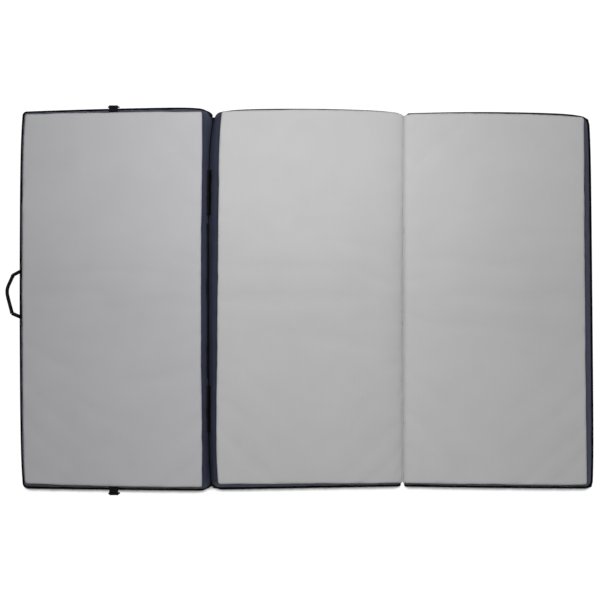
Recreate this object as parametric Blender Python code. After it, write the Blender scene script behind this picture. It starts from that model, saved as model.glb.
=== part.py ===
"""A large three-panel bouldering crash pad, lying open on the ground, in metres.

The pad folds like a letter Z. The left panel folds under the centre one about their bottom seams,
and the right panel folds over it about their top seams. Each panel is a cloth box on three layers
of foam. +X runs along the open pad, +Y towards its north end, and +Z is up. The origin is at the
middle of the centre panel's underside.
"""

import math
from collections import namedtuple

import bmesh
import bpy
import numpy as np
from mathutils import Matrix, Vector

# The open pad
CENTRE_WIDTH = 0.536
SIDE_WIDTH = 0.520
PANEL_DEPTH = 1.047
PAD_HEIGHT = 0.102
CORNER_RADIUS = 0.020

# Cloth, foam and the gaps between neighbours
CLOTH = 0.001
FIT = 0.0003
TOP_FOAM = 0.008
BASE_FOAM = 0.006
PIPING_DIAMETER = 0.005
PIPING_LIFT = 0.0002

# How far the top seam lies inside the foot of each wall
LEFT_FLARE = 0.012
LEFT_GAP_FLARE = 0.020
CENTRE_GAP_FLARE = 0.027
RIGHT_FLARE = 0.025
LEFT_NORTH_FLARE = 0.017
LEFT_SOUTH_FLARE = 0.017
CENTRE_NORTH_FLARE = 0.009
CENTRE_SOUTH_FLARE = 0.021
RIGHT_NORTH_FLARE = 0.0085
RIGHT_SOUTH_FLARE = 0.019
WALL_BELLY = 0.0015

# The two folds: an open gap hinged at the foot, and a closed valley hinged at the top
GAP_FOOT_INSET = 0.0015
VALLEY_TOP_INSET = 0.0055
VALLEY_FOOT_INSET = 0.008
FOLD_CLEARANCE = 0.0005
VALLEY_BAND_DEPTH = 0.008
HINGE_END_INSET = 0.040

# How far the corners are drawn in from the fullest point of each side
OUTER_DRAW = 0.010
GAP_DRAW = 0.001
VALLEY_DRAW = 0.0004
NORTH_DRAW = 0.010
SOUTH_DRAW = 0.005

# The top cover's rounded edge and crown
SHOULDER_RISE = 0.006
SHOULDER_WIDTH = 0.008
CROWN_RISE = 0.004

# The hollow under the right panel, pressed in by the harness it lies on
DISH_DEPTH = 0.010
DISH_RIM = 0.032
DISH_SLOPE = 0.025

# Webbing, and the flat metal and plastic pieces that it loops through
WEBBING = 0.0014
WEBBING_WIDTH = 0.0245
BAR_WIDTH = 0.004
PLATE_THICKNESS = 0.003
PLATE_WIDTH = 0.031
PLATE_ARM = 0.00275
WEBBING_SLOT = 0.0085
MIDDLE_BAR = 0.005

# Carry handle on the left end
HANDLE_NORTH = 0.0796
HANDLE_SOUTH = -0.0494
HANDLE_REACH = 0.0356
HANDLE_LEVEL = 0.057
HANDLE_WIDTH = 0.034
HANDLE_THICKNESS = 0.008
SLEEVE_WALL = 0.0015
PATCH_LENGTH = 0.040
PATCH_HEIGHT = 0.044
PATCH_THICKNESS = 0.0015
HANDLE_SEAT = 0.0008

# Closing tabs and receivers on the left panel's ends
TAB_ROOT_DROP = 0.004
TAB_ROOT_CLEARANCE = 0.0015
TAB_LENGTH = 0.022
TAB_DROOP = math.radians(35)
RECEIVER_SLOT = 0.013

# Closing straps and hooks under the right panel's ends
STRAP_ROOT_Y = 0.448
STRAP_FLAT_LENGTH = 0.028
STRAP_RAMP_END_Y = 0.350
STRAP_EYE_Y = 0.250
STRAP_TAIL = 0.120
HOOK_SLOT = 0.0055
HOOK_END_BAR = 0.005

# Hook and loop tapes low in the open gap
TAPE_CENTRE_Y = 0.300
TAPE_LENGTH = 0.126
TAPE_FOOT = 0.0075
TAPE_WIDTH = 0.025
TAPE_THICKNESS = 0.0016

# Zips low on the fold walls
SHORT_ZIP = 0.430
LONG_ZIP = 0.900
ZIP_LEVEL = 0.020
ZIP_WIDTH = 0.020
ZIP_TAPE = 0.001
ZIP_RIDGE = 0.0014
ZIP_RIDGE_WIDTH = 0.005
SLIDER_CLEARANCE = 0.0006
SLIDER_THICKNESS = 0.003
SLIDER_HEIGHT = 0.010
SLIDER_LENGTH = 0.009
SLIDER_END_MARGIN = 0.004
PULL_LENGTH = 0.008
PULL_THICKNESS = 0.0012

# Carrying harness under the right panel
YOKE_NORTH = 0.330
YOKE_SOUTH = 0.273
YOKE_NORTH_WIDTH = 0.120
YOKE_SOUTH_WIDTH = 0.200
SHOULDER_WIDTH_OUT = 0.062
SHOULDER_THICKNESS = 0.008
SHOULDER_TOP_SPREAD = 0.060
SHOULDER_MID_SPREAD = 0.085
SHOULDER_MID_Y = 0.110
SHOULDER_END_SPREAD = 0.100
SHOULDER_END_Y = -0.060
LOCK_TOP_BAR = 0.006
LOWER_WEBBING_LENGTH = 0.225
LOWER_RAMP_LENGTH = 0.060
LOWER_TAIL = 0.040
BELT_Y = -0.165
BELT_WIDTH = 0.038
BELT_REACH = 0.185
BELT_SEWN_LENGTH = 0.020
BELT_RAMP = 0.015
BELT_DROP = 0.0018
BUCKLE_WIDTH = 0.044
BUCKLE_THICKNESS = 0.008
BUCKLE_LIFT = 0.0014
BUCKLE_WALL = 0.0015
SOCKET_LENGTH = 0.034
PLUG_LENGTH = 0.020
TONGUE_LENGTH = 0.023

# Shares of the sizes above, chosen by hand
WALL_LEVEL_SHARES = (0.0, 0.3, 0.65, 1.0)
SHOULDER_SHARES = ((0.0, 0.0), (0.10, 0.60), (0.38, 0.90), (1.0, 1.0))
CROWN_SHARES = ((0.24, 0.58), (0.52, 0.87), (0.86, 1.0))
HANDLE_SHARES = ((0.0, 0.0), (0.095, 0.48), (0.22, 0.70), (0.34, 0.87), (0.47, 0.94),
                 (0.58, 0.90), (0.69, 0.80), (0.80, 0.68), (0.925, 0.54), (1.0, 0.0))
LOOP_NECK_SHARE = 1.6
CORNER_STEPS = 3
END_STEPS = 5
SIDE_STEPS = 8
PIPING_SIDES = 6
TAPE_STEPS = 2
ZIP_STEPS = 6
PATCH_STEPS = 2
SHOULDER_STEPS = 8
ARC_STEPS = 8
ARC_OPEN = math.radians(125)

# Colour, roughness and metallic value of each finish
FINISHES = {
    "grey_cloth": ((0.50, 0.50, 0.51), 0.85, 0.0),
    "slate_cloth": ((0.058, 0.065, 0.098), 0.8, 0.0),
    "black_cloth": ((0.008, 0.008, 0.011), 0.8, 0.0),
    "black_webbing": ((0.007, 0.007, 0.009), 0.7, 0.0),
    "firm_foam": ((0.05, 0.05, 0.055), 0.9, 0.0),
    "soft_foam": ((0.72, 0.68, 0.55), 0.95, 0.0),
    "steel": ((0.35, 0.35, 0.36), 0.35, 1.0),
    "black_plastic": ((0.01, 0.01, 0.011), 0.4, 0.0),
}

LEFT_HINGE_X = -CENTRE_WIDTH / 2
RIGHT_HINGE_X = CENTRE_WIDTH / 2
HARNESS_X = RIGHT_HINGE_X + SIDE_WIDTH / 2
WALL_FOOT = CLOTH + FIT
SEAM_HEIGHT = PAD_HEIGHT - CROWN_RISE - SHOULDER_RISE
TOP_FOAM_UNDERSIDE = PAD_HEIGHT - CROWN_RISE - CLOTH - FIT - TOP_FOAM
CORE_UNDERSIDE = CLOTH + FIT + BASE_FOAM + FIT
LINING = CLOTH + FIT
LAYER_HALF = (WEBBING + FIT) / 2
HANDLE_STAND_OUT = FIT + PATCH_THICKNESS + HANDLE_SEAT
LOOP_RADIUS = math.hypot(BAR_WIDTH, PLATE_THICKNESS) / 2 + 2 * FIT + WEBBING / 2
LOOP_NECK = LOOP_NECK_SHARE * LOOP_RADIUS
HARDWARE_HEIGHT = DISH_DEPTH / 2
SEWN_HEIGHT = DISH_DEPTH - FIT - WEBBING / 2

UP = Vector((0, 0, 1))
EAST = Vector((1, 0, 0))
NORTH = Vector((0, 1, 0))

Panel = namedtuple("Panel", "name west east foot seam draw dished")
Body = namedtuple("Body", "empty pivot")


def by_side(west, east, north, south):
    """One value for each side of a panel."""
    return {"west": west, "east": east, "north": north, "south": south}


def make_panels():
    """The three panels: their extent, and the insets of foot, top seam and corners on each side."""
    left = Panel(
        "left", LEFT_HINGE_X - SIDE_WIDTH, LEFT_HINGE_X,
        by_side(0, GAP_FOOT_INSET, 0, 0),
        by_side(LEFT_FLARE, LEFT_GAP_FLARE, LEFT_NORTH_FLARE, LEFT_SOUTH_FLARE),
        by_side(OUTER_DRAW, GAP_DRAW, NORTH_DRAW, SOUTH_DRAW), False)
    centre = Panel(
        "centre", LEFT_HINGE_X, RIGHT_HINGE_X,
        by_side(GAP_FOOT_INSET, VALLEY_FOOT_INSET, 0, 0),
        by_side(CENTRE_GAP_FLARE, VALLEY_TOP_INSET, CENTRE_NORTH_FLARE, CENTRE_SOUTH_FLARE),
        by_side(GAP_DRAW, VALLEY_DRAW, NORTH_DRAW, SOUTH_DRAW), False)
    right = Panel(
        "right", RIGHT_HINGE_X, RIGHT_HINGE_X + SIDE_WIDTH,
        by_side(VALLEY_FOOT_INSET, 0, 0, 0),
        by_side(VALLEY_TOP_INSET, RIGHT_FLARE, RIGHT_NORTH_FLARE, RIGHT_SOUTH_FLARE),
        by_side(VALLEY_DRAW, OUTER_DRAW, NORTH_DRAW, SOUTH_DRAW), True)
    return left, centre, right


def clear_scene():
    """Removes what the file holds, such as the startup cube."""
    for old in list(bpy.data.objects):
        bpy.data.objects.remove(old)


def make_body(name, pivot, parent=None):
    """An empty on the body's joint axis, which its pieces are parented to."""
    empty = bpy.data.objects.new(name + "_pivot", None)
    bpy.context.collection.objects.link(empty)
    empty.location = pivot
    if parent:
        empty.parent = parent.empty
        empty.location = pivot - parent.pivot
    return Body(empty, pivot)


def add_piece(name, bm, finish, body):
    """Makes the mesh, built in world coordinates, one named object on its body."""
    bmesh.ops.recalc_face_normals(bm, faces=bm.faces)
    bmesh.ops.translate(bm, verts=bm.verts, vec=-body.pivot)
    mesh = bpy.data.meshes.new(name)
    bm.to_mesh(mesh)
    bm.free()
    mesh.shade_smooth()
    mesh.set_sharp_from_angle(angle=math.radians(35))
    colour, roughness, metallic = FINISHES[finish]
    material = bpy.data.materials.new(f"{name}_{finish}")
    material.use_nodes = True
    shader = material.node_tree.nodes["Principled BSDF"]
    shader.inputs["Base Color"].default_value = (*colour, 1.0)
    shader.inputs["Roughness"].default_value = roughness
    shader.inputs["Metallic"].default_value = metallic
    mesh.materials.append(material)
    piece = bpy.data.objects.new(name, mesh)
    bpy.context.collection.objects.link(piece)
    piece.parent = body.empty
    return piece


def loft(name, rings, closed, finish, body):
    """Joins a row of equal rings of points, and either the last to the first or a cap at each end."""
    bm = bmesh.new()
    loops = [[bm.verts.new(point) for point in ring] for ring in rings]
    pairs = list(zip(loops, loops[1:]))
    if closed:
        pairs.append((loops[-1], loops[0]))
    else:
        bm.faces.new(loops[0])
        bm.faces.new(loops[-1])
    for low, high in pairs:
        for i in range(len(low)):
            j = (i + 1) % len(low)
            bm.faces.new((low[i], low[j], high[j], high[i]))
    return add_piece(name, bm, finish, body)


def drawn_in(panel, x, y):
    """Moves a point of the straight-sided panel to where the drawn-in corners take it."""
    half_x = (panel.east - panel.west) / 2
    half_y = PANEL_DEPTH / 2
    u = (x - (panel.west + panel.east) / 2) / half_x
    v = y / half_y
    draw_x = panel.draw["east" if u > 0 else "west"]
    draw_y = panel.draw["north" if v > 0 else "south"]
    return x - u * draw_x * v * v, y - v * draw_y * u * u


def corner_and_side_points(half_x, half_y):
    """A rounded rectangle about zero, anticlockwise from the middle of its east side's north end."""
    reach_x = half_x - CORNER_RADIUS
    reach_y = half_y - CORNER_RADIUS
    signs = ((1, 1), (-1, 1), (-1, -1), (1, -1))
    corners = []
    for quarter, (sx, sy) in enumerate(signs):
        arc = []
        for step in range(CORNER_STEPS + 1):
            angle = (quarter + step / CORNER_STEPS) * math.pi / 2
            arc.append(Vector((sx * reach_x + CORNER_RADIUS * math.cos(angle),
                               sy * reach_y + CORNER_RADIUS * math.sin(angle))))
        corners.append(arc)
    points = []
    for quarter, arc in enumerate(corners):
        points += arc
        start = arc[-1]
        end = corners[(quarter + 1) % len(corners)][0]
        steps = SIDE_STEPS if quarter % 2 else END_STEPS
        points += [start.lerp(end, step / steps) for step in range(1, steps)]
    return points


def ring(panel, insets, z):
    """The panel's outline at a height, inset from its fullest extent by a value on each side."""
    west = panel.west + insets["west"]
    east = panel.east - insets["east"]
    south = -PANEL_DEPTH / 2 + insets["south"]
    north = PANEL_DEPTH / 2 - insets["north"]
    middle_x = (west + east) / 2
    middle_y = (south + north) / 2
    flat = corner_and_side_points((east - west) / 2, (north - south) / 2)
    return [Vector((*drawn_in(panel, middle_x + p.x, middle_y + p.y), z)) for p in flat]


def deeper(insets, by):
    """The same insets, all moved further in."""
    return {side: inset + by for side, inset in insets.items()}


def wall_levels():
    """The heights at which the side band is shaped."""
    return [WALL_FOOT + share * (SEAM_HEIGHT - WALL_FOOT) for share in WALL_LEVEL_SHARES]


def wall_inset(panel, side, z):
    """How far the side band's outer face lies inside the panel's extent, at a height."""
    foot = panel.foot[side] + PIPING_DIAMETER + FIT
    rise = panel.seam[side] - foot
    at_levels = [foot + rise * s - 4 * WALL_BELLY * s * (1 - s) for s in WALL_LEVEL_SHARES]
    return float(np.interp(z, wall_levels(), at_levels))


def wall_insets(panel, z, into=0.0):
    """The inset of every wall at a height, or of a surface that lies further in."""
    return {side: wall_inset(panel, side, z) + into for side in panel.foot}


def on_wall(panel, side, along, z, out):
    """The point that stands out from a wall by a distance, at a place along it and a height."""
    inset = wall_inset(panel, side, z) - out
    if side == "west":
        x, y = panel.west + inset, along
    elif side == "east":
        x, y = panel.east - inset, along
    elif side == "north":
        x, y = along, PANEL_DEPTH / 2 - inset
    else:
        x, y = along, inset - PANEL_DEPTH / 2
    return Vector((*drawn_in(panel, x, y), z))


def side_band(panel, body):
    """The wall of cloth round a panel, from its bottom seam to its top seam."""
    outer = [ring(panel, wall_insets(panel, z), z) for z in wall_levels()]
    inner = [ring(panel, wall_insets(panel, z, CLOTH), z) for z in reversed(wall_levels())]
    loft(panel.name + "_side_band", outer + inner, True, "slate_cloth", body)


def cover_profile(panel):
    """The top cover's outer face as steps inwards from the seam and heights: shoulder, then crown."""
    foot = SEAM_HEIGHT + FIT
    rise = SHOULDER_RISE - FIT
    profile = [(w * SHOULDER_WIDTH, foot + h * rise) for w, h in SHOULDER_SHARES]
    reach = (panel.east - panel.west) / 2 - max(panel.seam.values()) - SHOULDER_WIDTH
    reach -= CORNER_RADIUS
    for share, height in CROWN_SHARES:
        profile.append((SHOULDER_WIDTH + share * reach, foot + rise + height * CROWN_RISE))
    return profile


def inside_profile(profile, depth):
    """A profile that lies a constant depth inside another."""
    normals = []
    for (i0, z0), (i1, z1) in zip(profile, profile[1:]):
        normals.append(Vector((z1 - z0, i0 - i1)).normalized())
    moved = [(profile[0][0] + depth, profile[0][1])]
    for (inset, z), before, after in zip(profile[1:], normals, normals[1:]):
        middle = (before + after).normalized()
        step = middle * (depth / middle.dot(before))
        moved.append((inset + step.x, z + step.y))
    moved.append((profile[-1][0], profile[-1][1] - depth))
    return moved


def profile_rings(panel, profile):
    """The outlines of a profile that starts at the panel's top seam."""
    return [ring(panel, deeper(panel.seam, inset), z) for inset, z in profile]


def top_cover(panel, body):
    """The crowned cloth that is landed on."""
    outer = cover_profile(panel)
    inner = inside_profile(outer, CLOTH)
    rings = profile_rings(panel, reversed(inner)) + profile_rings(panel, outer)
    loft(panel.name + "_top_cover", rings, False, "grey_cloth", body)


def top_foam(panel, body):
    """The firm closed-cell sheet under the top cover."""
    rings = [ring(panel, wall_insets(panel, z, LINING), z) for z in (TOP_FOAM_UNDERSIDE, SEAM_HEIGHT)]
    rings += profile_rings(panel, inside_profile(cover_profile(panel), LINING))
    loft(panel.name + "_top_foam", rings, False, "firm_foam", body)


def dish_rings(panel, height):
    """The hollow pressed into the underside, from its middle to its rim, at a height in the stack."""
    if not panel.dished:
        return []
    rim = by_side(DISH_RIM, DISH_RIM, DISH_RIM, DISH_RIM)
    return [ring(panel, deeper(rim, DISH_SLOPE), DISH_DEPTH + height), ring(panel, rim, height)]


def core_foam(panel, body):
    """The thick open-cell core."""
    top = TOP_FOAM_UNDERSIDE - FIT
    levels = [CORE_UNDERSIDE] + [z for z in wall_levels() if CORE_UNDERSIDE < z < top] + [top]
    rings = dish_rings(panel, CORE_UNDERSIDE)
    rings += [ring(panel, wall_insets(panel, z, LINING), z) for z in levels]
    loft(panel.name + "_core_foam", rings, False, "soft_foam", body)


def sheet_in_foot(name, panel, low, high, into, finish, body):
    """A flat layer at the panel's foot that follows the hollow in its underside."""
    rings = dish_rings(panel, low)
    rings += [ring(panel, wall_insets(panel, z, into), z) for z in (low, high)]
    rings += dish_rings(panel, high)[::-1]
    loft(name, rings, False, finish, body)


def base_foam(panel, body):
    """The thin closed-cell sheet at the bottom."""
    sheet_in_foot(panel.name + "_base_foam", panel, WALL_FOOT, WALL_FOOT + BASE_FOAM, LINING,
                  "firm_foam", body)


def bottom_cover(panel, body):
    """The tough cloth that lies on the ground."""
    sheet_in_foot(panel.name + "_bottom_cover", panel, 0, CLOTH, 0, "black_cloth", body)


def piping(panel, body):
    """The round trim sewn into the bottom seam."""
    radius = PIPING_DIAMETER / 2
    centre = ring(panel, deeper(panel.foot, radius), PIPING_LIFT + radius)
    rings = []
    for i, point in enumerate(centre):
        ahead = centre[(i + 1) % len(centre)]
        tangent = (ahead - centre[i - 1]).normalized()
        side = tangent.cross(UP)
        turns = [2 * math.pi * k / PIPING_SIDES for k in range(PIPING_SIDES)]
        rings.append([point + radius * (math.cos(t) * side + math.sin(t) * UP) for t in turns])
    loft(panel.name + "_piping", rings, True, "black_webbing", body)


def panel_pieces(panel, body):
    """The cloth and foam of one panel."""
    top_cover(panel, body)
    side_band(panel, body)
    bottom_cover(panel, body)
    top_foam(panel, body)
    core_foam(panel, body)
    base_foam(panel, body)
    piping(panel, body)


def flat_strip(name, middle_x, half_width, z, finish, body):
    """The strip of cloth that joins two panels along a fold."""
    reach = PANEL_DEPTH / 2 - HINGE_END_INSET
    steps = SIDE_STEPS + 1
    rings = []
    for y in np.linspace(-reach, reach, steps):
        rings.append([Vector((middle_x + sx * half_width, y, z + sz * CLOTH))
                      for sx, sz in ((-1, 0), (1, 0), (1, 1), (-1, 1))])
    loft(name, rings, False, finish, body)


def hinge_strips(left, body):
    """The black strip at the foot of the open gap, and the grey band across the closed valley."""
    foot = PIPING_LIFT + PIPING_DIAMETER + FIT
    half = wall_inset(left, "east", foot) - FIT
    flat_strip("bottom_hinge_strip", LEFT_HINGE_X, half, foot, "black_cloth", body)
    band_height = PAD_HEIGHT - VALLEY_BAND_DEPTH
    flat_strip("top_hinge_band", RIGHT_HINGE_X, VALLEY_TOP_INSET - FIT, band_height, "grey_cloth", body)


def wall_sweep(name, panel, side, start, end, steps, profile, finish, body):
    """Runs a profile of heights and stand-outs along a wall."""
    rings = []
    for along in np.linspace(start, end, steps + 1):
        rings.append([on_wall(panel, side, along, z, out) for z, out in profile])
    loft(name, rings, False, finish, body)


def wall_patch_profile(low, high, thickness):
    """A flat piece on a wall, following the wall's shape behind and in front."""
    heights = [low] + [z for z in wall_levels() if low < z < high] + [high]
    back = [(z, FIT) for z in heights]
    front = [(z, FIT + thickness) for z in reversed(heights)]
    return back + front


def tapes(left, centre, left_body, centre_body):
    """The hook and loop tapes that close the open gap."""
    profile = wall_patch_profile(TAPE_FOOT, TAPE_FOOT + TAPE_WIDTH, TAPE_THICKNESS)
    for end, sign in (("north", 1), ("south", -1)):
        start = sign * TAPE_CENTRE_Y - TAPE_LENGTH / 2
        stop = start + TAPE_LENGTH
        wall_sweep(end + "_loop_tape", left, "east", start, stop, TAPE_STEPS, profile,
                   "black_cloth", left_body)
        wall_sweep(end + "_hook_tape", centre, "west", start, stop, TAPE_STEPS, profile,
                   "black_webbing", centre_body)


def zip_on_wall(panel, side, length, body):
    """A zip's tape with its closed teeth, low on a fold wall."""
    low = ZIP_LEVEL - ZIP_WIDTH / 2
    high = ZIP_LEVEL + ZIP_WIDTH / 2
    face = FIT + ZIP_TAPE
    ridge = face + ZIP_RIDGE
    back = [(low, FIT)] + [(z, FIT) for z in wall_levels() if low < z < high] + [(high, FIT)]
    half = ZIP_RIDGE_WIDTH / 2
    front = [(high, face), (ZIP_LEVEL + half, face), (ZIP_LEVEL + half, ridge),
             (ZIP_LEVEL - half, ridge), (ZIP_LEVEL - half, face), (low, face)]
    wall_sweep(panel.name + "_zip", panel, side, -length / 2, length / 2, ZIP_STEPS, back + front,
               "black_cloth", body)


def slider_rest_y(length):
    """Where a zip's slider starts, at the closed end of its zip."""
    return -length / 2 + SLIDER_END_MARGIN


def slider_on_zip(panel, side, length, parent):
    """A zip's slider with its pull hanging down."""
    inner = FIT + ZIP_TAPE + ZIP_RIDGE + SLIDER_CLEARANCE
    outer = inner + SLIDER_THICKNESS
    top = ZIP_LEVEL + SLIDER_HEIGHT / 2
    bottom = ZIP_LEVEL - SLIDER_HEIGHT / 2
    profile = [(top, inner), (top, outer), (bottom - PULL_LENGTH, outer),
               (bottom - PULL_LENGTH, outer - PULL_THICKNESS), (bottom, outer - PULL_THICKNESS),
               (bottom, inner)]
    start = slider_rest_y(length)
    pivot = on_wall(panel, side, start, ZIP_LEVEL, inner)
    body = make_body(panel.name + "_slider", pivot, parent)
    wall_sweep(panel.name + "_zip_slider", panel, side, start, start + SLIDER_LENGTH, 1, profile,
               "steel", body)


def cross_sections(points, across, in_plane, wide):
    """Mitred rectangles along a path in the plane square to across."""
    rings = []
    for i, point in enumerate(points):
        ways = []
        if i > 0:
            ways.append((point - points[i - 1]).normalized())
        if i < len(points) - 1:
            ways.append((points[i + 1] - point).normalized())
        normals = [across.cross(way) for way in ways]
        middle = sum(normals, Vector()).normalized()
        side = middle * (in_plane / 2 / middle.dot(normals[0]))
        over = across * (wide / 2)
        rings.append([point + side + over, point - side + over, point - side - over, point + side - over])
    return rings


def ribbon(name, points, across, in_plane, wide, finish, body):
    """A flat strap or pad along a path: its size in the path's plane, and its size across it."""
    loft(name, cross_sections(points, across, in_plane, wide), False, finish, body)


def looped_path(lead, eye, way, lift, tail):
    """Webbing that runs along way, round a bar at eye and back; lift points to its first layer."""
    path = list(lead) + [eye - way * LOOP_NECK + lift * LAYER_HALF]
    for step in range(ARC_STEPS + 1):
        angle = ARC_OPEN * (1 - 2 * step / ARC_STEPS)
        path.append(eye + LOOP_RADIUS * (math.cos(angle) * way + math.sin(angle) * lift))
    path.append(eye - way * LOOP_NECK - lift * LAYER_HALF)
    path.append(eye - way * (LOOP_NECK + tail) - lift * LAYER_HALF)
    return path


def slotted_plate(name, columns, rows, holes, place, finish, body):
    """A flat plate on a grid of column and row lines, with some of its cells left open."""
    bm = bmesh.new()
    corners = {}

    def corner(i, j):
        if (i, j) not in corners:
            corners[i, j] = bm.verts.new((columns[i], rows[j], -PLATE_THICKNESS / 2))
        return corners[i, j]

    for i in range(len(columns) - 1):
        for j in range(len(rows) - 1):
            if (i, j) not in holes:
                bm.faces.new((corner(i, j), corner(i + 1, j), corner(i + 1, j + 1), corner(i, j + 1)))
    raised = bmesh.ops.extrude_face_region(bm, geom=list(bm.faces))
    moved = [v for v in raised["geom"] if isinstance(v, bmesh.types.BMVert)]
    bmesh.ops.translate(bm, verts=moved, vec=UP * PLATE_THICKNESS)
    bmesh.ops.transform(bm, matrix=place, verts=bm.verts)
    return add_piece(name, bm, finish, body)


def plate_lines(*lengths):
    """Grid lines that start at the near edge of a bar whose middle is at zero."""
    lines = [-BAR_WIDTH / 2]
    for length in lengths:
        lines.append(lines[-1] + length)
    return lines


def plate_columns():
    """Grid lines across a plate: an arm, the slots and an arm."""
    half = PLATE_WIDTH / 2
    return [-half, -half + PLATE_ARM, half - PLATE_ARM, half]


def frame_matrix(across, along, face, origin):
    """A placement whose own X, Y and Z point across, along and out of a plate's face."""
    matrix = Matrix((across, along, face)).transposed().to_4x4()
    matrix.translation = origin
    return matrix


def handle_path(panel):
    """The carry handle's middle line, bowed out from its two anchors on the wall."""
    path = []
    for along_share, reach_share in HANDLE_SHARES:
        along = HANDLE_NORTH + along_share * (HANDLE_SOUTH - HANDLE_NORTH)
        reach = HANDLE_STAND_OUT + reach_share * HANDLE_REACH
        path.append(on_wall(panel, "west", along, HANDLE_LEVEL, reach))
    return path


def handle_pivot(panel):
    """A point on the line between the handle's anchors, which it swings about."""
    along = (HANDLE_NORTH + HANDLE_SOUTH) / 2
    return on_wall(panel, "west", along, HANDLE_LEVEL, FIT + PATCH_THICKNESS)


def side_handle(panel, panel_body):
    """The handle: two patches, two webbing legs, and a sleeve on its webbing core."""
    body = make_body("side_handle", handle_pivot(panel), panel_body)
    low = HANDLE_LEVEL - PATCH_HEIGHT / 2
    patch = wall_patch_profile(low, low + PATCH_HEIGHT, PATCH_THICKNESS)
    for end, along in (("north", HANDLE_NORTH), ("south", HANDLE_SOUTH)):
        wall_sweep(end + "_handle_patch", panel, "west", along - PATCH_LENGTH / 2,
                   along + PATCH_LENGTH / 2, PATCH_STEPS, patch, "black_cloth", panel_body)
    path = handle_path(panel)
    rings = cross_sections(path, UP, HANDLE_THICKNESS, HANDLE_WIDTH)
    for foot in (rings[0], rings[-1]):
        for point in foot:
            point.x = on_wall(panel, "west", point.y, point.z, HANDLE_STAND_OUT).x
    gap = FIT / 2
    north_way = (path[2] - path[1]).normalized() * gap
    south_way = (path[-2] - path[-3]).normalized() * gap
    north_end = [p - north_way for p in rings[1]]
    south_end = [p + south_way for p in rings[-2]]
    loft("north_handle_leg", [rings[0], north_end], False, "black_webbing", panel_body)
    loft("south_handle_leg", [south_end, rings[-1]], False, "black_webbing", panel_body)
    grip_path = path[1:-1]
    grip_path[0] = grip_path[0] + north_way
    grip_path[-1] = grip_path[-1] - south_way
    outer = [[p + north_way for p in rings[1]]] + rings[2:-2] + [[p - south_way for p in rings[-2]]]
    bore = cross_sections(path, UP, HANDLE_THICKNESS - 2 * SLEEVE_WALL, HANDLE_WIDTH - 2 * SLEEVE_WALL)
    inner = [[p + north_way for p in bore[1]]] + bore[2:-2] + [[p - south_way for p in bore[-2]]]
    loft("side_handle_grip", outer + inner[::-1], True, "black_webbing", body)
    play = 2 * (SLEEVE_WALL + FIT)
    core = cross_sections(path, UP, HANDLE_THICKNESS - play, HANDLE_WIDTH - play)
    filled = [[p + north_way for p in core[1]]] + core[2:-2] + [[p - south_way for p in core[-2]]]
    loft("side_handle_core", filled, False, "black_webbing", body)


def tab_eye(panel, end, outward):
    """Where a closing tab's loop holds its receiver's bar, and the tab's root on the wall."""
    middle = (panel.west + panel.east) / 2
    root = on_wall(panel, end, middle, SEAM_HEIGHT - TAB_ROOT_DROP, TAB_ROOT_CLEARANCE)
    way = outward * math.cos(TAB_DROOP) - UP * math.sin(TAB_DROOP)
    return root, way, root + way * TAB_LENGTH


def closing_tab(panel, end, outward, panel_body):
    """A webbing tab sewn under the top seam, and the metal receiver that hangs in its loop."""
    root, way, eye = tab_eye(panel, end, outward)
    lift = EAST.cross(way) if EAST.cross(way).z > 0 else way.cross(EAST)
    path = looped_path([root + lift * LAYER_HALF], eye, way, lift, TAB_LENGTH - LOOP_NECK)
    ribbon(end + "_closure_tab", path, EAST, WEBBING, WEBBING_WIDTH, "black_webbing", panel_body)
    body = make_body(end + "_receiver", eye, panel_body)
    rows = plate_lines(BAR_WIDTH, WEBBING_SLOT, BAR_WIDTH, RECEIVER_SLOT, BAR_WIDTH)
    slotted_plate(end + "_receiver", plate_columns(), rows, {(1, 1), (1, 3)},
                  frame_matrix(EAST, -UP, outward, eye), "steel", body)


def closing_strap(end, outward, panel_body):
    """A webbing strap laid back under the right panel, and the flat hook on its loop."""
    eye = Vector((HARNESS_X, 0, HARDWARE_HEIGHT)) + outward * STRAP_EYE_Y
    upper = HARDWARE_HEIGHT + LAYER_HALF
    lead = [(STRAP_ROOT_Y, SEWN_HEIGHT), (STRAP_ROOT_Y - STRAP_FLAT_LENGTH, SEWN_HEIGHT),
            (STRAP_RAMP_END_Y, upper)]
    lead = [Vector((HARNESS_X, 0, z)) + outward * y for y, z in lead]
    path = looped_path(lead, eye, -outward, UP, STRAP_TAIL)
    ribbon(end + "_closure_strap", path, EAST, WEBBING, WEBBING_WIDTH, "black_webbing", panel_body)
    body = make_body(end + "_hook", eye, panel_body)
    rows = plate_lines(BAR_WIDTH, WEBBING_SLOT, MIDDLE_BAR, HOOK_SLOT, HOOK_END_BAR)
    slotted_plate(end + "_closure_hook", plate_columns(), rows, {(1, 1), (1, 3), (2, 3)},
                  frame_matrix(EAST, -outward, UP, eye), "steel", body)


def harness_yoke(body):
    """The patch that the shoulder straps are sewn to."""
    low = DISH_DEPTH - FIT - CLOTH
    corners = ((-YOKE_NORTH_WIDTH / 2, YOKE_NORTH), (YOKE_NORTH_WIDTH / 2, YOKE_NORTH),
               (YOKE_SOUTH_WIDTH / 2, YOKE_SOUTH), (-YOKE_SOUTH_WIDTH / 2, YOKE_SOUTH))
    rings = [[Vector((HARNESS_X + x, y, z)) for x, y in corners] for z in (low, low + CLOTH)]
    loft("harness_yoke", rings, False, "black_cloth", body)


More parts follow.
